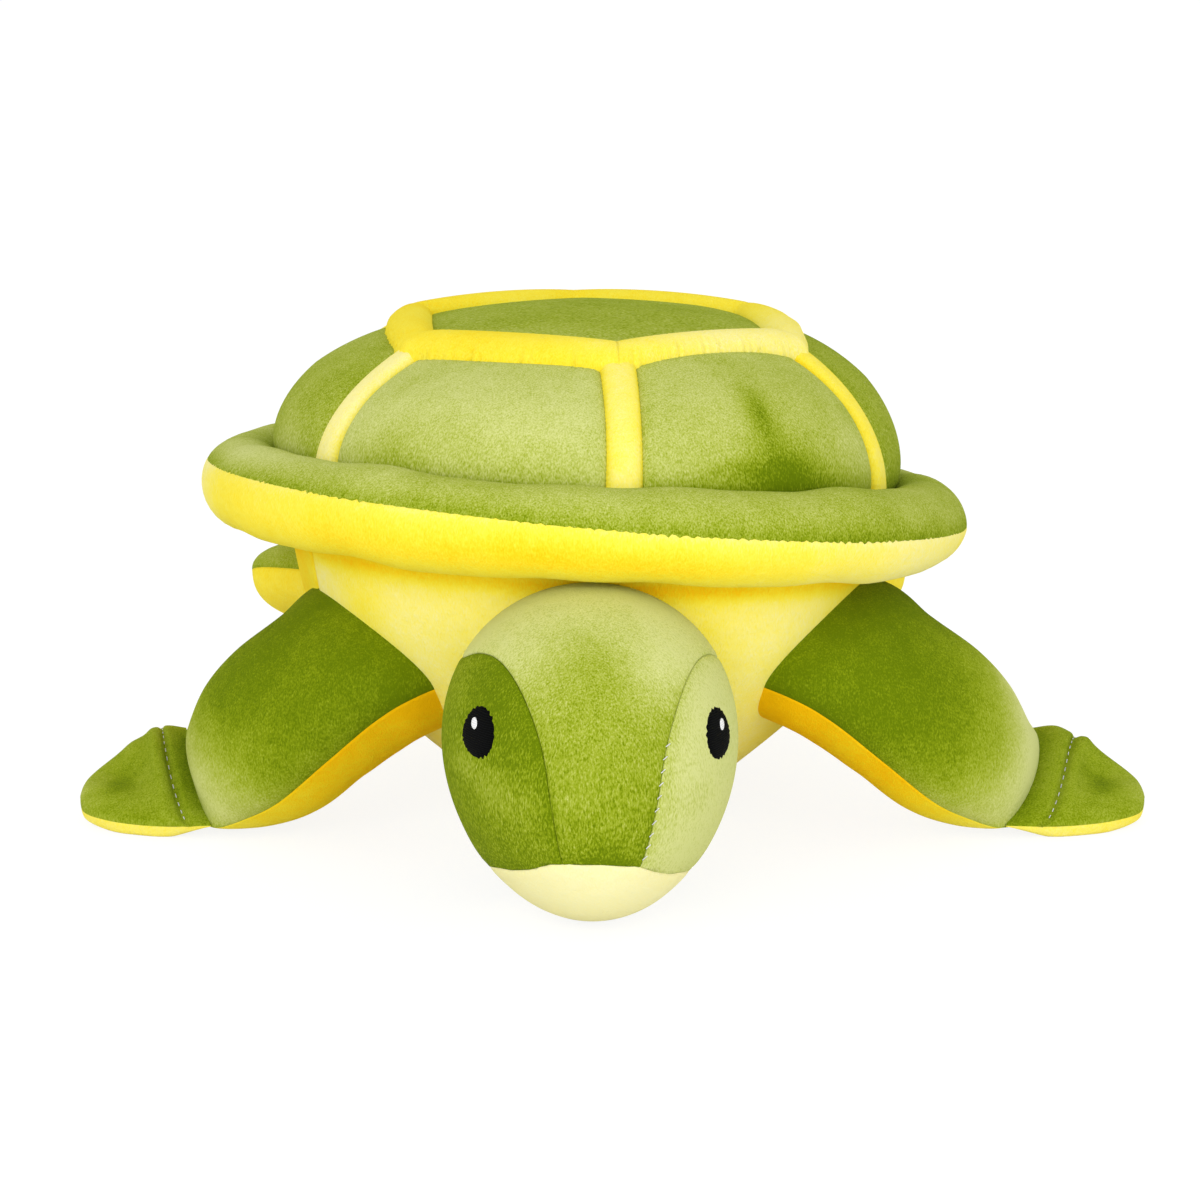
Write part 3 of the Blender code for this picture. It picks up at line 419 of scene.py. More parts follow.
BAND_WIDTH, BAND_RAISE = 0.0150, 0.0066
BAND_BOWS = (0.0022, 0.0030, 0.0030, 0.0030, 0.0040, 0.0085)
RIB_WIDTH, RIB_RAISE = 0.0152, 0.0034
PANEL_COUNT = 6
SECTOR = 2 * math.pi / PANEL_COUNT
FRONT = -math.pi / 2
CROWN_EDGE = math.sin(math.acos((CROWN_HALF_WIDTH / SHELL_HALF_WIDTH) ** (DOME_BULGE / 2)))


def dome(around, rise):
    quarter = np.clip(rise, 0, 1) * math.pi / 2
    level = np.cos(quarter) ** (2 / DOME_BULGE)
    height = np.sin(quarter) ** (2 / DOME_DROP)
    height = height - np.maximum(height - CROWN_EDGE, 0) * (1 - CROWN_FLATNESS)
    x = SHELL_HALF_WIDTH * level * np.cos(around)
    y = SHELL_HALF_LENGTH * level * np.sin(around)
    tilt = x * math.sin(SHELL_ROLL) + y * (math.sin(CROWN_PITCH) - math.sin(SHELL_PITCH))
    return on_form(SHELL_PLACE, x, y, SHELL_LIFT + DOME_HEIGHT * height + tilt * height)


def crown_rise(around, inset):
    turn = (around - FRONT) % SECTOR - SECTOR / 2
    radius = (CROWN_HALF_WIDTH - inset) / np.cos(turn) * (1 + CROWN_STRETCH * np.sin(around) ** 2)
    radius = radius - CROWN_FORWARD * np.sin(around)
    edge = 1 / np.hypot(np.cos(around) / SHELL_HALF_WIDTH, np.sin(around) / SHELL_HALF_LENGTH)
    return np.arccos((radius / edge) ** (DOME_BULGE / 2)) * 2 / math.pi


def band_bow(around):
    """How far the band's outer edge hangs over the panel below it, most in each side's middle."""
    side = (around - FRONT) / SECTOR
    bows = np.array(BAND_BOWS)[np.floor(side).astype(int) % len(BAND_BOWS)]
    return bows * np.sin(math.pi * (side % 1))


def rib_turn(rise, width):
    level = np.cos(rise * math.pi / 2) ** (2 / DOME_BULGE)
    return width / 2 / (level * (SHELL_HALF_WIDTH + SHELL_HALF_LENGTH) / 2)


# %% Sew the six side panels
PANEL_PUFF, PANEL_FULLNESS = 0.0058, 0.4
PANEL_SLACK, SLACK_START = 0.45, 0.6
TUCKED = 0.0035
DOME_MIDDLE = (SHELL_SIDEWAYS, 0, BRIM_HEIGHT)


def side_panel_place(index, across, along):
    first = FRONT + SECTOR * index
    around = first + SECTOR * across
    rise = crown_rise(around, TUCKED - band_bow(around)) * along
    edge = rib_turn(rise, RIB_WIDTH - TUCKED)
    around = first + edge + (SECTOR - 2 * edge) * across
    return dome(around, crown_rise(around, TUCKED - band_bow(around)) * along)


def pillow(across, along):
    """Full in the panel's middle, and slacker towards the hexagon, where the panel narrows."""
    slack = 1 - PANEL_SLACK * np.clip((along - SLACK_START) / (1 - SLACK_START), 0, 1)
    return PANEL_PUFF * slack * (16 * across * (1 - across) * along * (1 - along)) ** PANEL_FULLNESS


# Painted shade: LOW_SHADE darkens each panel at the dome's foot, where it meets the roll.
LOW_SHADE = (0.5, 0.0, 0.7, 0.14, -0.28)
PANEL_NAPS_AND_SHADE = {
    1: (0.64, (LOW_SHADE, (0.30, 0.70, 0.12, 0.20, 0.12), (0.44, 0.52, 0.055, 0.17, -0.38),
               (0.49, 0.19, 0.14, 0.17, -0.58), (0.31, 0.21, 0.10, 0.05, -0.16),
               (0.70, 0.09, 0.16, 0.12, -0.30), (0.16, 0.08, 0.20, 0.10, -0.25))),
    2: (0.38, (LOW_SHADE,)),
    3: (0.5, (LOW_SHADE,)),
    4: (0.6, (LOW_SHADE,)),
    5: (0.48, ((0.80, 0.15, 0.12, 0.16, 0.20), (0.35, 0.45, 0.18, 0.20, -0.12),
               (0.95, 0.70, 0.12, 0.25, -0.12))),
    6: (0.74, (LOW_SHADE, (0.30, 0.20, 0.14, 0.16, -0.22))),
}
for index in range(PANEL_COUNT):
    cover(f"shell_side_panel_{index + 1}", green_panel, "green_plush", partial(side_panel_place, index),
          64, 48, DOME_MIDDLE, seams=("left", "right", "top"), puff=pillow, nap=PANEL_NAPS_AND_SHADE[index + 1])

# %% [markdown]
# ## Ribs, hexagon band and crown
#
# The yellow strips are narrow tubes of plush with a little stuffing, so they stand proud of the green.
# They could be curves with a bevel, but a strip has to follow the dome and change its width, so it is a
# grid as well, with a round section: high in its middle and drawn in at both seams.

# %% Sew the ribs
RIB_WAVE, RIB_TUFTS = 0.018, 29


def rib_place(index, across, along):
    middle = FRONT + SECTOR * index
    rise = crown_rise(np.full_like(along, middle), TUCKED) * along
    width = RIB_WIDTH * (1 + RIB_WAVE * ragged(along + index + across, RIB_TUFTS))
    return dome(middle + rib_turn(rise, width) * (2 * across - 1), rise)


def rib_section(across, along):
    return (RIB_RAISE + SEAM_DEPTH) * np.sqrt(np.clip(1 - np.abs(2 * across - 1) ** 3, 0, 1)) - SEAM_DEPTH


RIB_NAPS = (0.66, 0.55, 0.6, 0.6, 0.6, 0.86)
# Each rib is a little paler along its middle and has painted shade at both edges, where it rounds down into
# the seams.
RIB_NAP_AND_EDGE_SHADE = ((0.5, 0.5, 0.28, 2.0, 0.10), (0, 0.5, 0.10, 2.0, -0.3))
for index in range(PANEL_COUNT):
    cover(f"shell_rib_{index + 1}", yellow_strip, "yellow_plush", partial(rib_place, index), 24, 180,
          DOME_MIDDLE, puff=rib_section, ease=0, nap=(RIB_NAPS[index], RIB_NAP_AND_EDGE_SHADE))

# %% Sew the hexagon band and the crown panel
BAND_STEPS, BAND_WAVE, BAND_TUFTS = 80, 0.0004, 163
BAND_NAP = (0.45, ((0.13, 0.5, 0.13, 1, 0.50), (0.98, 0.1, 0.06, 0.2, -0.12), (0.86, 0.9, 0.1, 0.2, -0.1)))
CROWN_STEPS, CROWN_PUFF = 32, 0.0032


def band_place(across, along):
    around = FRONT + 2 * math.pi * across
    outer = band_bow(around) + BAND_WAVE * ragged(across, BAND_TUFTS)
    return dome(around, crown_rise(around, (BAND_WIDTH + outer) * along - outer))


def band_section(across, along):
    return (BAND_RAISE + SEAM_DEPTH) * np.sqrt(np.clip(1 - (2 * along - 1) ** 2, 0, 1)) - SEAM_DEPTH


cover("hexagon_band", yellow_strip, "yellow_plush", band_place, PANEL_COUNT * BAND_STEPS, 20, DOME_MIDDLE,
      puff=band_section, ease=0, nap=BAND_NAP)


def crown_place(across, along):
    around = FRONT + 2 * math.pi * across
    start = crown_rise(around, BAND_WIDTH - TUCKED)
    return dome(around, start + (1 - start) * along)


def crown_puff(across, along):
    return CROWN_PUFF * np.sin(math.pi / 2 * along) ** 0.6


cover("shell_top_hexagon", green_crown, "green_plush", crown_place, PANEL_COUNT * CROWN_STEPS, 40,
      DOME_MIDDLE, seams=("low",), puff=crown_puff, ease=0, nap=(0.38, ((0.0, 0.1, 0.2, 0.3, 0.08),)))

# %% [markdown]
# ## The stuffed roll
#
# The roll is a fat tube round the dome's foot: a green strip above and a yellow one below, joined by a
# seam that climbs towards one side. Stuffing never fills such a tube evenly, so it has soft lumps. A
# torus has no strips, so each strip is again a pattern piece, and a sum of slow waves makes the lumps.

# %% Sew the roll's two strips
BRIM_SEAM_ANGLE, BRIM_SEAM_ROLL = math.radians(8), math.radians(-18)
TUFTS, TUFT_LENGTH, OVERLAP = 223, 0.0008, 0.0022
DENT_PLACE, DENT_WIDTH, DENT_DEPTH = 0.0, 0.07, -0.0035
LUMPS = ((5, 0.4, 0.0007), (9, 1.9, 0.0007), (14, 0.8, 0.0005), (23, 2.6, 0.00035))
LUMP_SCALE = 1.2


def brim_place(side, across, along):
    around = 2 * math.pi * across
    start = BRIM_SEAM_ANGLE + BRIM_SEAM_ROLL * np.cos(around)
    start = start - (ragged(across, TUFTS) * TUFT_LENGTH if side > 0 else -OVERLAP) / BRIM_RADIUS
    roll = start + (side * BRIM_TUCK_ANGLE - start) * along
    out_x, out_y = np.cos(around) * BRIM_HALF_LENGTH, np.sin(around) * BRIM_HALF_WIDTH
    out = np.hypot(out_x, out_y)
    x = BRIM_HALF_WIDTH * np.cos(around) + out_x / out * np.cos(roll) * BRIM_RADIUS
    y = BRIM_HALF_LENGTH * np.sin(around) + out_y / out * np.cos(roll) * BRIM_RADIUS
    return on_form(SHELL_PLACE, x, y, np.sin(roll) * BRIM_RADIUS)


def brim_lumps(side, across, along):
    lumps = sum(size * np.sin(2 * math.pi * count * across + turn + side) for count, turn, size in LUMPS)
    from_dent = (across - DENT_PLACE + 0.5) % 1 - 0.5
    dent = DENT_DEPTH * np.exp(-(from_dent / DENT_WIDTH) ** 2) * (side > 0)
    return lumps * along * LUMP_SCALE + dent * np.sin(math.pi * along)


def brim_middle(across, along):
    """The roll's own centre line, which its normals point away from."""
    around = 2 * math.pi * across
    return on_form(SHELL_PLACE, BRIM_HALF_WIDTH * np.cos(around), BRIM_HALF_LENGTH * np.sin(around), 0)


# Painted shade on the green strip: darker along its outer seam, which faces down and out, and darker where it
# tucks under the dome, so that its top looks paler. The two narrow strokes are patches of the pile.
UPPER_NAP_AND_SHADE = (0.64, ((0.5, 0.0, 3.0, 0.15, -0.26), (0.5, 1.0, 3.0, 0.30, -0.35),
                    (0.92, 0.3, 0.10, 0.5, -0.14), (0.55, 0.35, 0.05, 0.2, 0.15)))
LOWER_NAP = (0.56, ((0.74, 0.28, 0.10, 0.16, -0.36), (0.90, 0.35, 0.09, 0.5, 0.40),
                    (0.51, 0.2, 0.03, 0.6, 0.3), (0.5, 0.03, 3.0, 0.05, 0.15),
                    (0.62, 0.5, 0.05, 0.3, -0.10)))
BRIM_COLUMNS, BRIM_ROWS = 900, 26
BRIM_EASE, BRIM_SEAM_RADIUS = 0.6, 0.0028
BRIM_CENTRE = brim_middle(*np.meshgrid(edge_spacing(BRIM_COLUMNS, 0), edge_spacing(BRIM_ROWS, BRIM_EASE)))
for name, side, depth, finish, slot_name, nap in (
        ("brim_upper", 1, 0.0004, green_brim, "green_plush", UPPER_NAP_AND_SHADE),
        ("brim_lower", -1, 0.0012, yellow_strip, "yellow_plush", LOWER_NAP)):
    cover(name, finish, slot_name, partial(brim_place, side), BRIM_COLUMNS, BRIM_ROWS, BRIM_CENTRE,
          seams=("low",), puff=partial(brim_lumps, side), ease=BRIM_EASE, radius=BRIM_SEAM_RADIUS,
          depth=depth, nap=nap)

# %% [markdown]
# ## The body bag
#
# Below the roll the body is a bag that narrows to a flat belly. It is cut as four upright panels and a
# base. The photograph shows only the front, but a toy is turned over, so every panel is sewn.

# %% Sew the bag and the belly
BELLY_HALF_WIDTH, BELLY_HALF_LENGTH, BELLY_EDGE_HEIGHT, BELLY_FLAT = 0.046, 0.066, 0.005, 0.86
SIDE_PANEL_ANGLE = math.radians(19)
BAG_TUCK, BAG_FOOT, BAG_BULGE, BAG_FLARE = 0.08, 1.3, 3.0, 14
BAG_MIDDLE = (0, 0, BRIM_HEIGHT / 2)


def bag(around, down):
    top = on_form(SHELL_PLACE, SHELL_HALF_WIDTH * np.cos(around), SHELL_HALF_LENGTH * np.sin(around),
                  -SHELL_LIFT)
    height = np.clip(1 - down, 0, 1)
    bulge = 1 - (1 - height ** BAG_FOOT) ** BAG_BULGE
    spread = bulge * (1 - BAG_TUCK) + height ** BAG_FLARE * BAG_TUCK
    low_x, low_y = BELLY_HALF_WIDTH * np.cos(around), BELLY_HALF_LENGTH * np.sin(around)
    return np.stack([low_x + (top[..., 0] - low_x) * spread, low_y + (top[..., 1] - low_y) * spread,
                     BELLY_EDGE_HEIGHT + (top[..., 2] - BELLY_EDGE_HEIGHT) * height], axis=-1)


def bag_place(first, last, across, along):
    return bag(first + (last - first) * across, along)


BAG_CORNERS = (SIDE_PANEL_ANGLE - math.pi, -SIDE_PANEL_ANGLE, SIDE_PANEL_ANGLE, math.pi - SIDE_PANEL_ANGLE,
               math.pi + SIDE_PANEL_ANGLE)
BAG_NAMES = ("body_front_panel", "body_right_panel", "body_back_panel", "body_left_panel")
BAG_COLUMNS_PER_RADIAN, BAG_ROWS = 36, 56
# Painted shade on the body: the front panel is pale, with an orange band just under the roll, a soft darker
# zone round the head and darker patches by the flipper roots. The other panels carry only the band under the
# roll.
FRONT_NAP_AND_SHADE = (0.86, ((0.5, 0.09, 3.0, 0.040, -0.60), (0.5, 0.45, 0.17, 0.35, -0.35),
                    (0.12, 0.4, 0.05, 0.3, -0.3), (0.88, 0.4, 0.05, 0.3, -0.3)))
OTHER_NAP_AND_SHADE = (0.4, ((0.5, 0.08, 3.0, 0.05, -0.3),))
for name, first, last in zip(BAG_NAMES, BAG_CORNERS, BAG_CORNERS[1:]):
    cover(name, yellow_body, "yellow_plush", partial(bag_place, first, last),
          round((last - first) * BAG_COLUMNS_PER_RADIAN), BAG_ROWS, BAG_MIDDLE,
          seams=("left", "right", "top"), radius=0.003, depth=0.0012,
          nap=FRONT_NAP_AND_SHADE if name == "body_front_panel" else OTHER_NAP_AND_SHADE)


def belly_place(across, along):
    around = 2 * math.pi * across
    level = 1 - along
    height = BELLY_EDGE_HEIGHT * np.clip((level - BELLY_FLAT) / (1 - BELLY_FLAT), 0, 1) ** 2
    return np.stack([BELLY_HALF_WIDTH * level * np.cos(around), BELLY_HALF_LENGTH * level * np.sin(around),
                     height], axis=-1)


cover("belly_panel", yellow_body, "yellow_plush", belly_place, 120, 40, (0, 0, 1), ease=0)

# %% [markdown]
# ## The head
#
# The head is an egg that points forward and down, cut as a centre strip with a cheek on each side and a
# pale chin below. The strip is narrow at the nose and widest behind the crown. The jaw seam is a straight
# cut across the egg: the bisect operator trims the green pieces above it and the chin below it, as scissors
# would, and the helper turns their edges in along that same line, which is then bent under the cheeks.

# %% The egg and its seams
HEAD_HALF_WIDTH, HEAD_HALF_DEPTH, HEAD_NOSE_LENGTH, HEAD_BACK_LENGTH = 0.0525, 0.0575, 0.066, 0.062
HEAD_TAPER = 0.12
HEAD_PLACE = (Matrix.Translation((-0.002, -0.150, 0.0588)) @ Matrix.Rotation(math.radians(4.5), 4, "Z")
              @ Matrix.Rotation(math.radians(1.5), 4, "Y") @ Matrix.Rotation(math.radians(22), 4, "X"))
HEAD_MIDDLE = tuple(HEAD_PLACE.translation)
GUSSET_SHARES = (0.18, 0.305, 0.385, 0.44, 0.535, 0.645, 0.76, 0.83, 0.83, 0.77, 0.70)
GUSSET_FIRST, GUSSET_LAST, GUSSET_END = math.radians(-20), math.radians(180), math.radians(-70)
GUSSET_NOSE, HEAD_WRAP = math.radians(-50), math.radians(180)
CHIN_BACK, CHIN_LENGTH, CHIN_SIDE = math.radians(-140), math.radians(175), math.radians(57)
JAW_ANGLE, JAW_DROP = math.radians(39), 0.001
JAW_POINT = HEAD_PLACE @ Vector((0, -HEAD_NOSE_LENGTH, -JAW_DROP))
JAW_UP = (HEAD_PLACE.to_3x3() @ Matrix.Rotation(-JAW_ANGLE, 3, "X") @ Vector((0, 0, 1))).normalized()


def smooth_edge(places, share):
    """Places on a smooth curve through the given ones, for an array of shares."""
    places = np.array(places, float)
    if places.ndim == 1:
        places = places[:, None]
    last = len(places) - 1
    index = np.clip((share * last).astype(int), 0, last - 1)
    part = (share * last - index)[..., None]
    before, here = places[np.maximum(index - 1, 0)], places[index]
    after, beyond = places[index + 1], places[np.minimum(index + 2, last)]
    return 0.5 * (2 * here + (after - before) * part
                  + (2 * before - 5 * here + 4 * after - beyond) * part ** 2
                  + (3 * here - before - 3 * after + beyond) * part ** 3)


def egg(over, side):
    length = np.where(np.cos(over) > 0, HEAD_NOSE_LENGTH, HEAD_BACK_LENGTH)
    x = HEAD_HALF_WIDTH * np.sin(side) * (1 - HEAD_TAPER * np.cos(over) * np.cos(side))
    return on_form(HEAD_PLACE, x, -np.cos(side) * np.cos(over) * length,
                   np.cos(side) * np.sin(over) * HEAD_HALF_DEPTH)


def gusset_edge(over):
    share = np.clip((over - GUSSET_FIRST) / (GUSSET_LAST - GUSSET_FIRST), 0, 1)
    width = smooth_edge(GUSSET_SHARES, share)[..., 0]
    narrowing = np.clip((over - GUSSET_END) / (GUSSET_FIRST - GUSSET_END), 0, 1)
    return np.arcsin(width * narrowing)


def gusset_place(across, along):
    over = GUSSET_NOSE + (HEAD_WRAP - GUSSET_NOSE) * along
    return egg(over, gusset_edge(over) * (2 * across - 1))


def cheek_place(sign, across, along):
    over = HEAD_WRAP * (2 * across - 1)
    start = gusset_edge(over)
    return egg(over, sign * (start + (math.pi / 2 - start) * along))


def chin_place(across, along):
    return egg(CHIN_BACK + CHIN_LENGTH * along, CHIN_SIDE * (2 * across - 1))


def from_jaw(base):
    return np.abs((base - np.array(JAW_POINT)) @ np.array(JAW_UP))


# %% Sew the head
GUSSET_NAP = (0.36, ((0.5, 0.80, 1.5, 0.23, 0.92), (0.85, 0.54, 0.22, 0.09, 0.30),
                     (0.10, 0.57, 0.2, 0.05, 0.15), (0.45, 0.52, 0.22, 0.045, -0.10),
                     (0.5, 0.19, 0.6, 0.10, -0.32)))
LEFT_CHEEK_NAP = (0.14, ((0.68, 0.2, 0.07, 0.3, -0.10), (0.55, 0.35, 0.03, 0.22, 0.16),
                         (0.58, 0.65, 0.04, 0.15, 0.14)))
RIGHT_CHEEK_NAP = (1.02, ((0.60, 0.0, 0.25, 0.12, -0.22), (0.55, 0.3, 0.025, 0.2, -0.15)))
HEAD_PIECES = (("head_gusset", gusset_place, 56, 138, ("left", "right"), green_head, GUSSET_NAP),
               ("head_left_panel", partial(cheek_place, -1), 156, 70, ("low",), green_head, LEFT_CHEEK_NAP),
               ("head_right_panel", partial(cheek_place, 1), 156, 70, ("low",), green_head, RIGHT_CHEEK_NAP),
               ("chin_panel", chin_place, 90, 90, (), pale_chin, (0.75, ())))
JAW_SIDES = (-0.040, -0.030, -0.024, -0.017, 0.0, 0.013, 0.0195, 0.026, 0.034, 0.040)
JAW_SHIFTS = (0.0030, -0.0012, -0.0004, 0.0030, 0.0026, 0.0014, -0.0018, -0.0034, -0.0020, 0.0010)
JAW_BEND_WIDTH = 0.012


def trim_at_jaw(piece, keep_above):
    """Cut a piece along the jaw seam and throw the other part away."""
    with editing(piece):
        bpy.ops.mesh.bisect(plane_co=JAW_POINT, plane_no=JAW_UP, clear_inner=keep_above,
                            clear_outer=not keep_above)


def bend_jaw(piece):
    """Draw the seam up in its middle and down under the cheeks, on both its sides alike."""
    points = read_points(piece.data)
    outward = points - np.array(HEAD_MIDDLE)
    sideways = (outward @ np.array(HEAD_PLACE.to_3x3()))[:, 0]
    outward = unit(outward)
    up = np.array(JAW_UP) - outward * (outward @ np.array(JAW_UP))[:, None]
    near = np.exp(-(from_jaw(points) / JAW_BEND_WIDTH) ** 2) * (points[:, 1] < HEAD_MIDDLE[1])
    shift = np.interp(sideways, JAW_SIDES, JAW_SHIFTS) * near
    move_points(piece.data, points + up * shift[:, None])


for name, place, columns, rows, seams, finish, nap in HEAD_PIECES:
    is_chin = name == "chin_panel"
    panel = sew_panel(name + "_cloth", place, columns, rows, HEAD_MIDDLE, seams=seams, line=from_jaw,
                      floor=True, radius=0.0028, depth=0.0006, nap=nap)
    trim_at_jaw(panel, not is_chin)
    bend_jaw(panel)
    line_fabric(panel)
    dress(panel, finish, None, "pale_yellow_plush" if is_chin else "green_plush", name)
    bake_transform(panel)

# %% [markdown]
# ## Embroidered eyes
#
# Each eye is a black oval of satin stitch with a small white spot, worked through the plush, so it is a
# slightly raised, ribbed patch with a ragged edge and no gloss of glass. A disc is wrapped onto the cheek
# as the panels are and domed a little, and the ribs of the stitches are a fine wave in its bump.

# %% Stitch the eyes
EYE_OUT, EYE_OVER = 0.0440, math.radians(51)
EYE_SIDE = math.asin(EYE_OUT / HEAD_HALF_WIDTH)
EYE_TUFTS, EYE_WAVE = 23, 0.04


def thread(name, colour, between, gloss):
    """Satin stitch: fine rows of thread, and between them the colour darkened by a factor, as painted shade
    in the grooves.
    """
    made, tree, shader = new_material(name)
    rows = add_node(tree, "TexWave", {"Vector": object_place(tree), "Scale": 420.0, "Distortion": 2.5,
                                      "Detail": 2.0}, bands_direction="Z").outputs["Fac"]
    # Painted shade: the colour between the rows of thread is darkened by the given factor.
    darker = tuple(channel * between for channel in colour)
    bump = add_node(tree, "Bump", {"Height": rows, "Strength": 0.4, "Distance": 0.0004})
    feed(shader, {"Base Color": colour_mix(tree, rows, (*darker, 1), (*colour, 1)), "Roughness": 0.7,
                  "Specular IOR Level": gloss, "Normal": bump.outputs["Normal"]})
    return made


black_thread = thread("black satin stitch", (0.0040, 0.0045, 0.0045), 0.2, 0.03)
white_thread = thread("white satin stitch", (0.93, 0.93, 0.93), 0.8, 0.1)


def oval_place(sign, up, width, height, across, along):
    turn = 2 * math.pi * across
    level = (1 - along) * (1 + EYE_WAVE * ragged(across, EYE_TUFTS) * (1 - along))
    over = EYE_OVER + (up + level * height / 2 * np.sin(turn)) / (HEAD_HALF_DEPTH * math.cos(EYE_SIDE))
    return egg(over, sign * EYE_SIDE + level * width / 2 * np.cos(turn) / HEAD_HALF_WIDTH)


def oval_dome(lift, crown, across, along):
    return lift + crown * np.sqrt(np.clip(1 - (1 - along) ** 4, 0, 1))


EYE_OVAL, EYE_DOME, EYE_THICKNESS = (0, 0.0185, 0.0178), (-0.0006, 0.0014), 0.0008
SPOT_OVAL, SPOT_DOME, SPOT_THICKNESS = (0.0030, 0.0034, 0.0044), (0.0004, 0.0007), 0.0005
for name, sign in SIDES:
    cover("eye_" + name, black_thread, "black_thread", partial(oval_place, sign, *EYE_OVAL), 96, 16,
          HEAD_MIDDLE, "head", "thread", EYE_THICKNESS, 0, puff=partial(oval_dome, *EYE_DOME), ease=0)
    cover("eye_highlight_" + name, white_thread, "white_thread", partial(oval_place, sign, *SPOT_OVAL), 40, 8,
          HEAD_MIDDLE, "head", "thread", SPOT_THICKNESS, 0, puff=partial(oval_dome, *SPOT_DOME), ease=0)

# %% [markdown]
# Where the toy was closed by hand, a ladder stitch of pale thread shows on the right seam of the face.
# It could be drawn in the material, but real thread stands proud and catches light, so one stitch is
# modelled as a short soft rod, copied along the seam and joined into one piece.

# %% Close the face seam with ladder stitches
LADDER_TURNS = np.radians(1.5 + 4.6 * np.arange(10))
LADDER_BELOW, LADDER_ABOVE = -0.017, 0.014
LADDER_BACK, LADDER_AHEAD = 0.010, 0.012


def face_seam(across, along):
    return egg(along, gusset_edge(along) + across)


ladder = add_stitches("head_ladder_stitches", (face_seam, None, HEAD_MIDDLE),
                      (np.full(LADDER_TURNS.shape, LADDER_BELOW), LADDER_TURNS - LADDER_BACK),
                      (np.full(LADDER_TURNS.shape, LADDER_ABOVE), LADDER_TURNS + LADDER_AHEAD), 0.0001)
dress(ladder, white_thread, "head", "white_thread", fill=0)

# %% [markdown]
# ## The flippers
#
# A flipper is two matching pieces of plush, green above and yellow below, sewn round the edge and turned
# right side out. Its two edges are smooth curves through a few given places, and between them the fabric
# swells to an oval section. Past a stitched line the front flippers end in a flat tip. The curves are the
# same as the solids'.

# %% Smooth edges and oval sections
EDGE_HEIGHT, LIMB_FABRIC = 0.0016, 0.0006
END_NARROWING, END_START = 0.07, 0.9
OVERHANG_START, OVERHANG_CURVE = 0.6, 1.5
MIDDLE_DROP = 0.5


def limb_middle(limb, facing):
    """A place far under or over a limb's half, which its normals point away from."""
    middle = (limb["leading"].mean(axis=0) + limb["trailing"].mean(axis=0)) / 2
    return middle - np.array((0, 0, facing * MIDDLE_DROP))


def limb_edges(limb, along):
    return smooth_edge(limb["leading"], along), smooth_edge(limb["trailing"], along)


def limb_run(limb, along):
    """The way that a limb runs on from each place, from its root to its end."""
    ahead = np.clip(along + SAMPLE_STEP, -1, 1)
    return sum(limb_edges(limb, ahead)) - sum(limb_edges(limb, ahead - 2 * SAMPLE_STEP))


def limb_normal(limb, along, evened):
    """The way that the fabric swells, made even over a stretch of the limb so that no fold starts."""
    total = 0
    for offset in np.linspace(-evened, evened, 5 if evened else 1):
        here = np.clip(along + offset, 0, 1)
        leading, trailing = limb_edges(limb, here)
        normal = unit(np.cross(trailing - leading, limb_run(limb, here)))
        total = total + normal * np.where(normal[..., 2:] < 0, -1, 1)
    return unit(total)


def limb_place(limb, facing, across, along):
    """The upper or lower half of a limb: across runs from one edge to the other, along from the root."""
    along = along + (limb["inside"] * (1 - along) if facing < 0 else 0)
    leading, trailing = limb_edges(limb, along)
    ending = np.clip((along - END_START) / (1 - END_START), 0, 1)
    chord = (trailing - leading) / 2 * (1 - END_NARROWING * ending[..., None] ** 2)
    swell = np.clip(smooth_edge(limb["swells"], along)[..., 0], 0, None)
    height = EDGE_HEIGHT + (limb["upper"] if facing > 0 else limb["lower"]) * swell
    past_round = ((along - limb["round"]) / (1 - limb["round"])).clip(0)
    height = height * np.sqrt(np.clip(1 - past_round ** 2, 0, 1))
    turn = math.pi * (1 - across)
    section = np.sin(turn) ** (1 if facing > 0 else limb["fullness"])
    forward = unit(limb_run(limb, along))
    past_start = np.clip((along - OVERHANG_START) / (1 - OVERHANG_START), 0, 1)
    over = limb["overhang"] * section * past_start ** OVERHANG_CURVE * (facing > 0)
    normal = limb_normal(limb, along, limb["evened"][facing > 0])
    return ((leading + trailing) / 2 + chord * np.cos(turn)[..., None]
            + normal * (facing * section * height)[..., None] + forward * over[..., None])


def limb_shape(leading, trailing, scale, **rest):
    """A limb's two edges, given as shares of its size, with the rest of its measures."""
    return {"leading": np.array(leading) * scale, "trailing": np.array(trailing) * scale, **rest}


def add_limb(name, limb, columns, rows, naps, start=None, puff=None):
    """Sew both halves of a limb. Given a start, they are left off the limb's body and their placing is baked
    into the mesh.
    """
    for part, facing, finish, slot_name, nap in (("upper", 1, green_limb, "green_plush", naps[0]),
                                                 ("lower", -1, yellow_body, "yellow_plush", naps[1])):
        panel = cover(f"{name}_{part}", finish, slot_name, partial(limb_place, limb, facing), columns, rows,
                      limb_middle(limb, facing), None if start else name, thickness=LIMB_FABRIC,
                      seams=("left", "right"), puff=puff if facing > 0 else None, floor=True,
                      radius=0.003, depth=0, nap=nap)
        if start:
            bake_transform(panel)


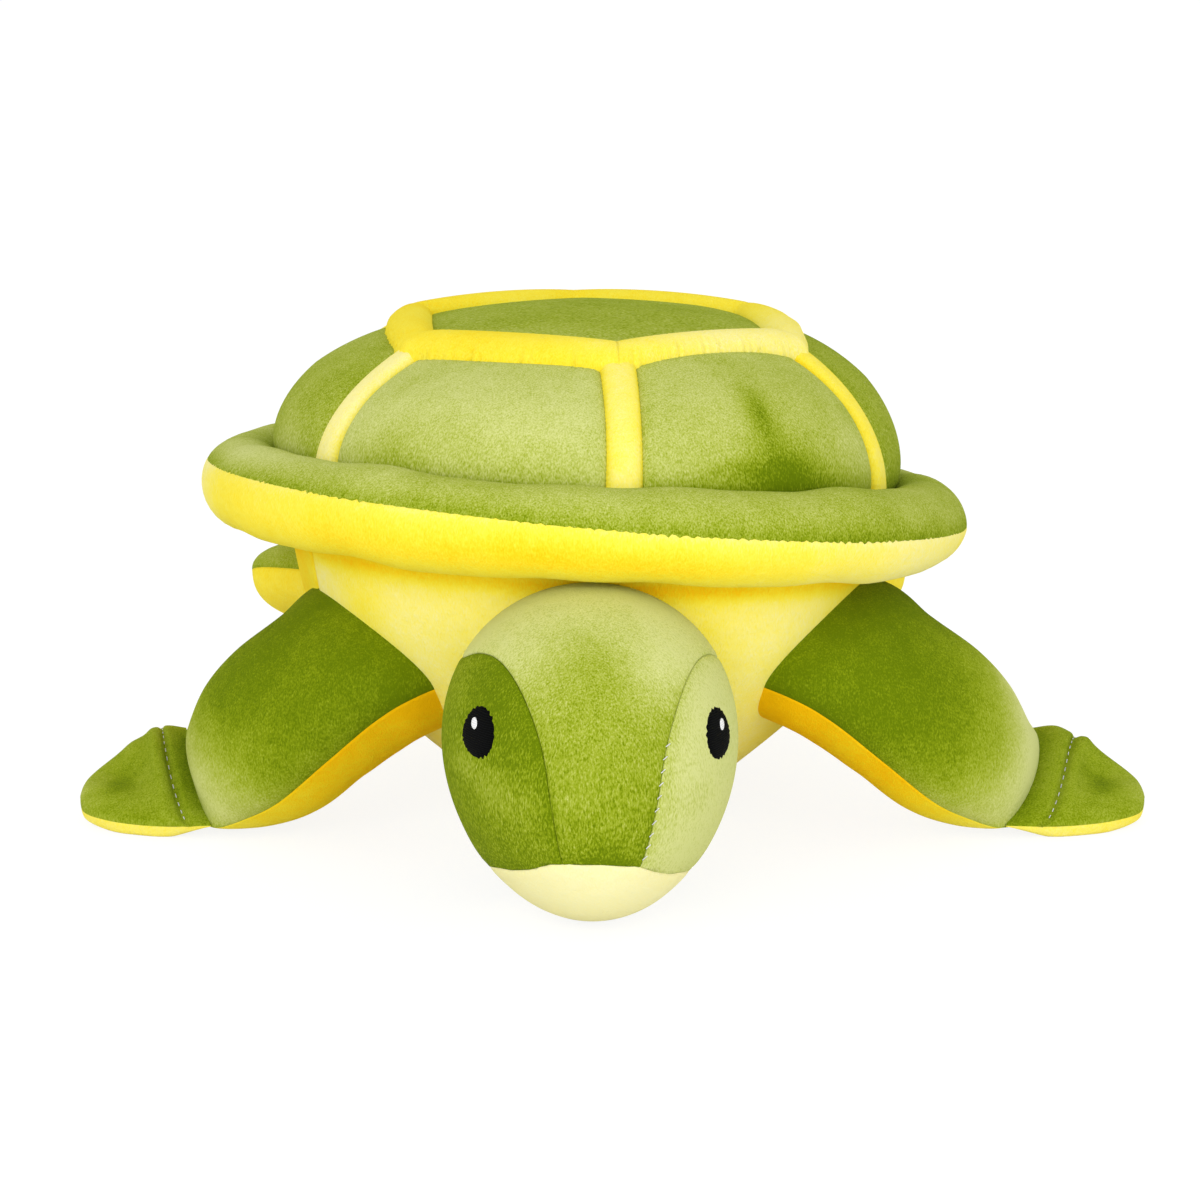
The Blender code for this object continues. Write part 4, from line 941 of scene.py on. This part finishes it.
# %% Sew the front flippers and their tips
LOBE_LEADING = ((0.20, 0.82, 0.78), (0.33, 1.00, 0.71), (0.41, 0.99, 0.60), (0.505, 0.95, 0.41),
                (0.60, 0.87, 0.21), (0.68, 0.77, 0.095), (0.735, 0.715, 0.04))
LOBE_TRAILING = ((0.42, 0.18, 0.98), (0.53, 0.31, 0.955), (0.59, 0.39, 0.855), (0.67, 0.39, 0.73),
                 (0.72, 0.36, 0.60), (0.755, 0.29, 0.43), (0.815, 0.07, 0.295))
TIP_LEADING = ((0.735, 0.715, 0.060), (0.815, 0.715, 0.056), (0.88, 0.695, 0.058), (0.940, 0.64, 0.060),
               (0.988, 0.55, 0.066), (1.003, 0.43, 0.092))
TIP_TRAILING = ((0.815, 0.07, 0.295), (0.86, 0.08, 0.298), (0.905, 0.13, 0.24), (0.95, 0.20, 0.185),
                (0.993, 0.30, 0.125), (1.0031, 0.429, 0.0925))
FLIPPER_REACH = {"left": 0.200, "right": 0.212}
FLIPPER_FORWARD, FLIPPER_RISE = 0.098, 0.090
LOBE_NAPS = {"left": (0.02, ((0.30, 0.84, 0.55, 0.17, 0.80), (0.95, 0.60, 0.2, 0.25, 0.25))),
             "right": (0.05, ((0.50, 0.87, 0.55, 0.18, 1.10), (0.85, 0.68, 0.25, 0.20, 0.65)))}
# Painted shade: the yellow underside of each lobe takes the ramp's deep orange, as in the shade beneath the
# flipper, and grows paler only towards its end.
LOBE_UNDER_NAP_AND_SHADE = (0.02, ((0.2, 1.0, 0.6, 0.34, 0.72),))
TIP_NAPS = ((0.30, ((0.45, 0.5, 0.12, 0.10, -0.25), (0.95, 0.5, 0.1, 1.0, 0.25),
                    (0.5, 1.0, 0.5, 0.25, 0.30), (0.6, 0.05, 0.5, 0.08, -0.2))), (0.75, ()))
TIP_LINES = {"left": (0.11, 0.11), "right": (0.16, 0.20)}
STITCH_FIRST, STITCH_LAST, STITCH_COUNT, STITCH_LENGTH = 0.14, 0.90, 14, 0.026
GROOVE_DEPTH, GROOVE_WIDTH = 0.0026, 0.018
WELT_HEIGHT, WELT_PLACE, WELT_WIDTH = 0.0016, 0.07, 0.045
FOLD_DEPTH, FOLD_SIDE, FOLD_SLANT, FOLD_MIDDLE, FOLD_SPREAD = 0.0038, 0.55, 0.4, 0.5, (0.16, 0.2)
MOUND_HEIGHT, MOUND_PLACE, MOUND_SPREAD = 0.0020, (0.8, 0.42), (0.15, 0.10)


def tip_folds(line, across, along):
    """The stitched groove across the tip, the welt past it, a slanting fold and a low mound."""
    past = along - line[0] - line[1] * across
    groove = -GROOVE_DEPTH * soft_spot(past / GROOVE_WIDTH, 0)
    welt = WELT_HEIGHT * soft_spot((past - WELT_PLACE) / WELT_WIDTH, 0)
    aside, ahead = across - FOLD_SIDE - FOLD_SLANT * (along - FOLD_MIDDLE), along - FOLD_MIDDLE
    fold = -FOLD_DEPTH * soft_spot(aside / FOLD_SPREAD[0], ahead / FOLD_SPREAD[1])
    aside, ahead = across - MOUND_PLACE[0], along - MOUND_PLACE[1]
    mound = MOUND_HEIGHT * soft_spot(aside / MOUND_SPREAD[0], ahead / MOUND_SPREAD[1])
    return (groove + welt + fold + mound) * np.sqrt(np.sin(math.pi * np.clip(across, 0, 1)))


for name, side in SIDES:
    scale = (side * FLIPPER_REACH[name], -FLIPPER_FORWARD, FLIPPER_RISE)
    lobe = limb_shape(LOBE_LEADING, LOBE_TRAILING, scale, swells=(0.85, 0.95, 1.0, 1.0, 0.95, 0.70, 0.0),
                      upper=0.019, lower=0.030 if side > 0 else 0.037, round=0.975, fullness=0.75,
                      inside=-0.10, evened=(0.25, 0), overhang=0.012 if side > 0 else 0.002)
    add_limb("front_flipper_" + name, lobe, 80, 110, (LOBE_NAPS[name], LOBE_UNDER_NAP_AND_SHADE),
             (side * 0.085, -0.060, 0.085))
    tip = limb_shape(TIP_LEADING, TIP_TRAILING, scale, swells=(0.0, 1.0, 1.0, 0.9, 0.5, 0.0),
                     upper=0.0048, lower=0.009, round=0.8, fullness=0.5, inside=0, evened=(0.12, 0.12),
                     overhang=0)
    folds = partial(tip_folds, TIP_LINES[name])
    add_limb("flipper_tip_" + name, tip, 80, 120, TIP_NAPS, puff=folds)
    surface = (partial(limb_place, tip, 1), folds, limb_middle(tip, 1))
    starts = np.linspace(STITCH_FIRST, STITCH_LAST, STITCH_COUNT)
    ends = starts + STITCH_LENGTH
    line_start, line_slope = TIP_LINES[name]
    thread_row = add_stitches(f"flipper_tip_{name}_stitches", surface,
                              (starts, line_start + line_slope * starts),
                              (ends, line_start + line_slope * ends), 0.0005)
    dress(thread_row, white_thread, "flipper_tip_" + name, "white_thread", fill=0)

# %% Sew the rear flippers
REAR_LEADING = ((0.50, 0.36, 0.98), (0.76, 0.46, 1.00), (0.95, 0.56, 0.97), (0.95, 0.72, 0.80),
                (0.84, 0.88, 0.45), (0.80, 0.98, 0.17), (0.785, 1.01, 0.14))
REAR_TRAILING = ((0.36, 0.58, 0.94), (0.54, 0.68, 0.92), (0.66, 0.80, 0.77), (0.66, 0.92, 0.54),
                 (0.70, 1.00, 0.28), (0.76, 1.02, 0.13), (0.7849, 1.0101, 0.1399))
REAR_NAPS = ((0.45, ()), (0.55, ()))
REAR_REACH, REAR_BACK, REAR_RISE = {"left": 0.151, "right": 0.135}, 0.165, 0.071
for name, side in SIDES:
    scale = (side * REAR_REACH[name], REAR_BACK, REAR_RISE)
    rear = limb_shape(REAR_LEADING, REAR_TRAILING, scale, swells=(0.75, 0.95, 1.0, 0.90, 0.65, 0.20, 0.0),
                      upper=0.012, lower=0.018, round=0.9, fullness=0.7, inside=-0.12, evened=(0.1, 0.1),
                      overhang=0)
    add_limb("rear_flipper_" + name, rear, 50, 80, REAR_NAPS,
             (side * 0.075, 0.085, 0.068))

# %% [markdown]
# ## The stuffing
#
# Inside every form is loose polyester fibre. It never shows, but it keeps the toy whole. Each
# stuffing starts from its solid, drawn in a little where the cloth lies close. All but the thin tips are
# made even by a voxel remesh and swollen by a cloth simulation with inner pressure, in which no point may
# move further than the room under the fabric.

# %% Swell the stuffing
fibre, fibre_tree, fibre_shader = new_material("white stuffing fibre")
tone = noise(fibre_tree, object_place(fibre_tree), scale=160.0, detail=4.0, roughness=0.7, distortion=1.2)
tone = colour_mix(fibre_tree, tone, (0.62, 0.62, 0.60, 1), (0.88, 0.88, 0.86, 1))
feed(fibre_shader, {"Base Color": tone, "Roughness": 1.0})
FILLINGS = {"torso": ("shell_filling", "brim_filling", "body_filling"), "head": ("head_filling",)}
for name, side in SIDES:
    for limb in ("front_flipper", "flipper_tip", "rear_flipper"):
        FILLINGS[f"{limb}_{name}"] = (f"{limb}_{name}_filling",)
ROOM, PRESSURE, STEPS, VOXEL = 0.0004, 4, 12, 0.005
SHARES = (("rear_flipper", 0.78), ("flipper", 0.86), ("shell", 0.97), ("", 1))


def swell(piece):
    """Blow a form up a little with cloth pressure, and keep each point within its room."""
    cloth = piece.modifiers.new("swell", "CLOTH")
    cloth.settings.use_pressure = True
    cloth.settings.uniform_pressure_force = PRESSURE
    cloth.settings.effector_weights.gravity = 0
    scene = bpy.context.scene
    for step in range(1, STEPS + 1):
        scene.frame_set(step)
    before = read_points(piece.data)
    move = read_points(piece.evaluated_get(bpy.context.evaluated_depsgraph_get()).data) - before
    length = np.linalg.norm(move, axis=1, keepdims=True)
    scene.frame_set(1)
    piece.modifiers.remove(cloth)
    move_points(piece.data, before + move * np.minimum(1, ROOM / np.maximum(length, TINY_LENGTH)))


for body, nodes in FILLINGS.items():
    for node in nodes:
        stuffing = bpy.data.objects.new(node + "_fibre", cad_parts[node].data.copy())
        link(stuffing)
        with editing(stuffing):
            bpy.ops.mesh.remove_doubles(threshold=CLOSE)
        points = read_points(stuffing.data)
        heart = points.mean(axis=0)
        share = next(share for part, share in SHARES if part in node)
        move_points(stuffing.data, heart + (points - heart) * share)
        if "tip" not in node:
            apply_modifier(stuffing, "REMESH", mode="VOXEL", voxel_size=VOXEL)
            swell(stuffing)
        bpy.ops.object.shade_smooth()
        dress(stuffing, fibre, body, "white_fibre", node, fill=0.7)
        print(stuffing.name, len(stuffing.data.polygons), "faces")

# %% [markdown]
# ## Floor, light and camera
#
# The toy was photographed on white with broad soft light. A curved sweep of paper would stand in the way
# of a look from behind, so the floor is one wide flat sheet that runs on past the frame. To the camera,
# and in a mirror or a glass, floor and world glow a plain white, and the floor keeps a faint shadow.
# Every other ray meets a matt white sheet, whose bounced light fills the undersides.

# %% Lay the floor
FLOOR_SIZE, FLOOR_CUTS, FLOOR_DROP = 60, 12, 0.0002
PAPER_GLOW, SKY_LIGHT, SKY_SEEN = 0.86, 0.78, 1.0


def show_directly(tree, lighting, seen, output):
    """One shader lights the toy. The camera, a mirror and a glass see the other."""
    rays = add_node(tree, "LightPath").outputs
    direct = maths(tree, "MAXIMUM", rays["Is Camera Ray"], rays["Is Glossy Ray"])
    direct = maths(tree, "MAXIMUM", direct, rays["Is Transmission Ray"])
    pick = add_node(tree, "MixShader", {"Fac": direct, 1: lighting, 2: seen})
    feed(tree.nodes[output], {"Surface": pick.outputs["Shader"]})


deselect_all()
bpy.ops.mesh.primitive_grid_add(x_subdivisions=FLOOR_CUTS, y_subdivisions=FLOOR_CUTS, size=FLOOR_SIZE,
                                location=(0, 0, -FLOOR_DROP))
bpy.ops.object.transform_apply(location=True)
floor = bpy.context.active_object
floor.name = "floor_sheet"
paper, paper_tree, paper_shader = new_material("white paper")
feed(paper_shader, {"Base Color": (0.88, 0.88, 0.88, 1), "Roughness": 0.9})
glow = add_node(paper_tree, "Emission", {"Color": WHITE, "Strength": PAPER_GLOW}).outputs["Emission"]
shaded = add_node(paper_tree, "BsdfDiffuse", {"Color": (0.2, 0.2, 0.2, 1)}).outputs["BSDF"]
seen_paper = add_node(paper_tree, "AddShader", {0: shaded, 1: glow}).outputs["Shader"]
show_directly(paper_tree, paper_shader.outputs["BSDF"], seen_paper, "Material Output")
floor.data.materials.append(paper)
print("floor", FLOOR_SIZE, "m across")

# %% Hang the lamps
LAMP_AIM = Vector((0, 0, 0.08))


def softbox(name, place, width, watts):
    lamp = bpy.data.lights.new(name, "AREA")
    lamp.shape = "DISK"
    lamp.size = width
    lamp.energy = watts
    held = bpy.data.objects.new(name, lamp)
    held.location = place
    held.rotation_euler = (Vector(place) - LAMP_AIM).to_track_quat("Z", "Y").to_euler()
    link(held)


softbox("key_softbox", (-0.6, -1.5, 0.70), width=1.0, watts=9.3)
softbox("fill_softbox", (1.0, -1.4, 0.4), width=1.2, watts=7)
softbox("back_softbox", (0.2, 1.0, 1.4), width=1.2, watts=2)
world = bpy.context.scene.world or bpy.data.worlds.new("studio")
bpy.context.scene.world = world
world.use_nodes = True
sky_tree = world.node_tree
sky_light = sky_tree.nodes["Background"]
feed(sky_light, {"Color": WHITE, "Strength": SKY_LIGHT})
sky_seen = add_node(sky_tree, "Background", {"Color": WHITE, "Strength": SKY_SEEN})
show_directly(sky_tree, sky_light.outputs["Background"], sky_seen.outputs["Background"], "World Output")
print("three softboxes hung")

# %% Place the camera
PIXELS_PER_METRE, IMAGE_WIDTH = 2530, 1200
SENSOR_WIDTH, CAMERA_DISTANCE = 36, 1.4
ELEVATION = math.radians(13.5)
LOOK_AT = Vector((0.0012, 0, 0.077))
camera = bpy.data.cameras.new("camera")
camera.sensor_width = SENSOR_WIDTH
camera.lens = SENSOR_WIDTH * CAMERA_DISTANCE / (IMAGE_WIDTH / PIXELS_PER_METRE)
camera.clip_end = 20
viewer = bpy.data.objects.new("camera", camera)
toward = Vector((0, -math.cos(ELEVATION), math.sin(ELEVATION)))
viewer.location = LOOK_AT + toward * CAMERA_DISTANCE
viewer.rotation_euler = toward.to_track_quat("Z", "Y").to_euler()
link(viewer)
bpy.context.scene.camera = viewer
bpy.context.scene.view_settings.view_transform = "Standard"
print("camera lens", round(camera.lens, 1))
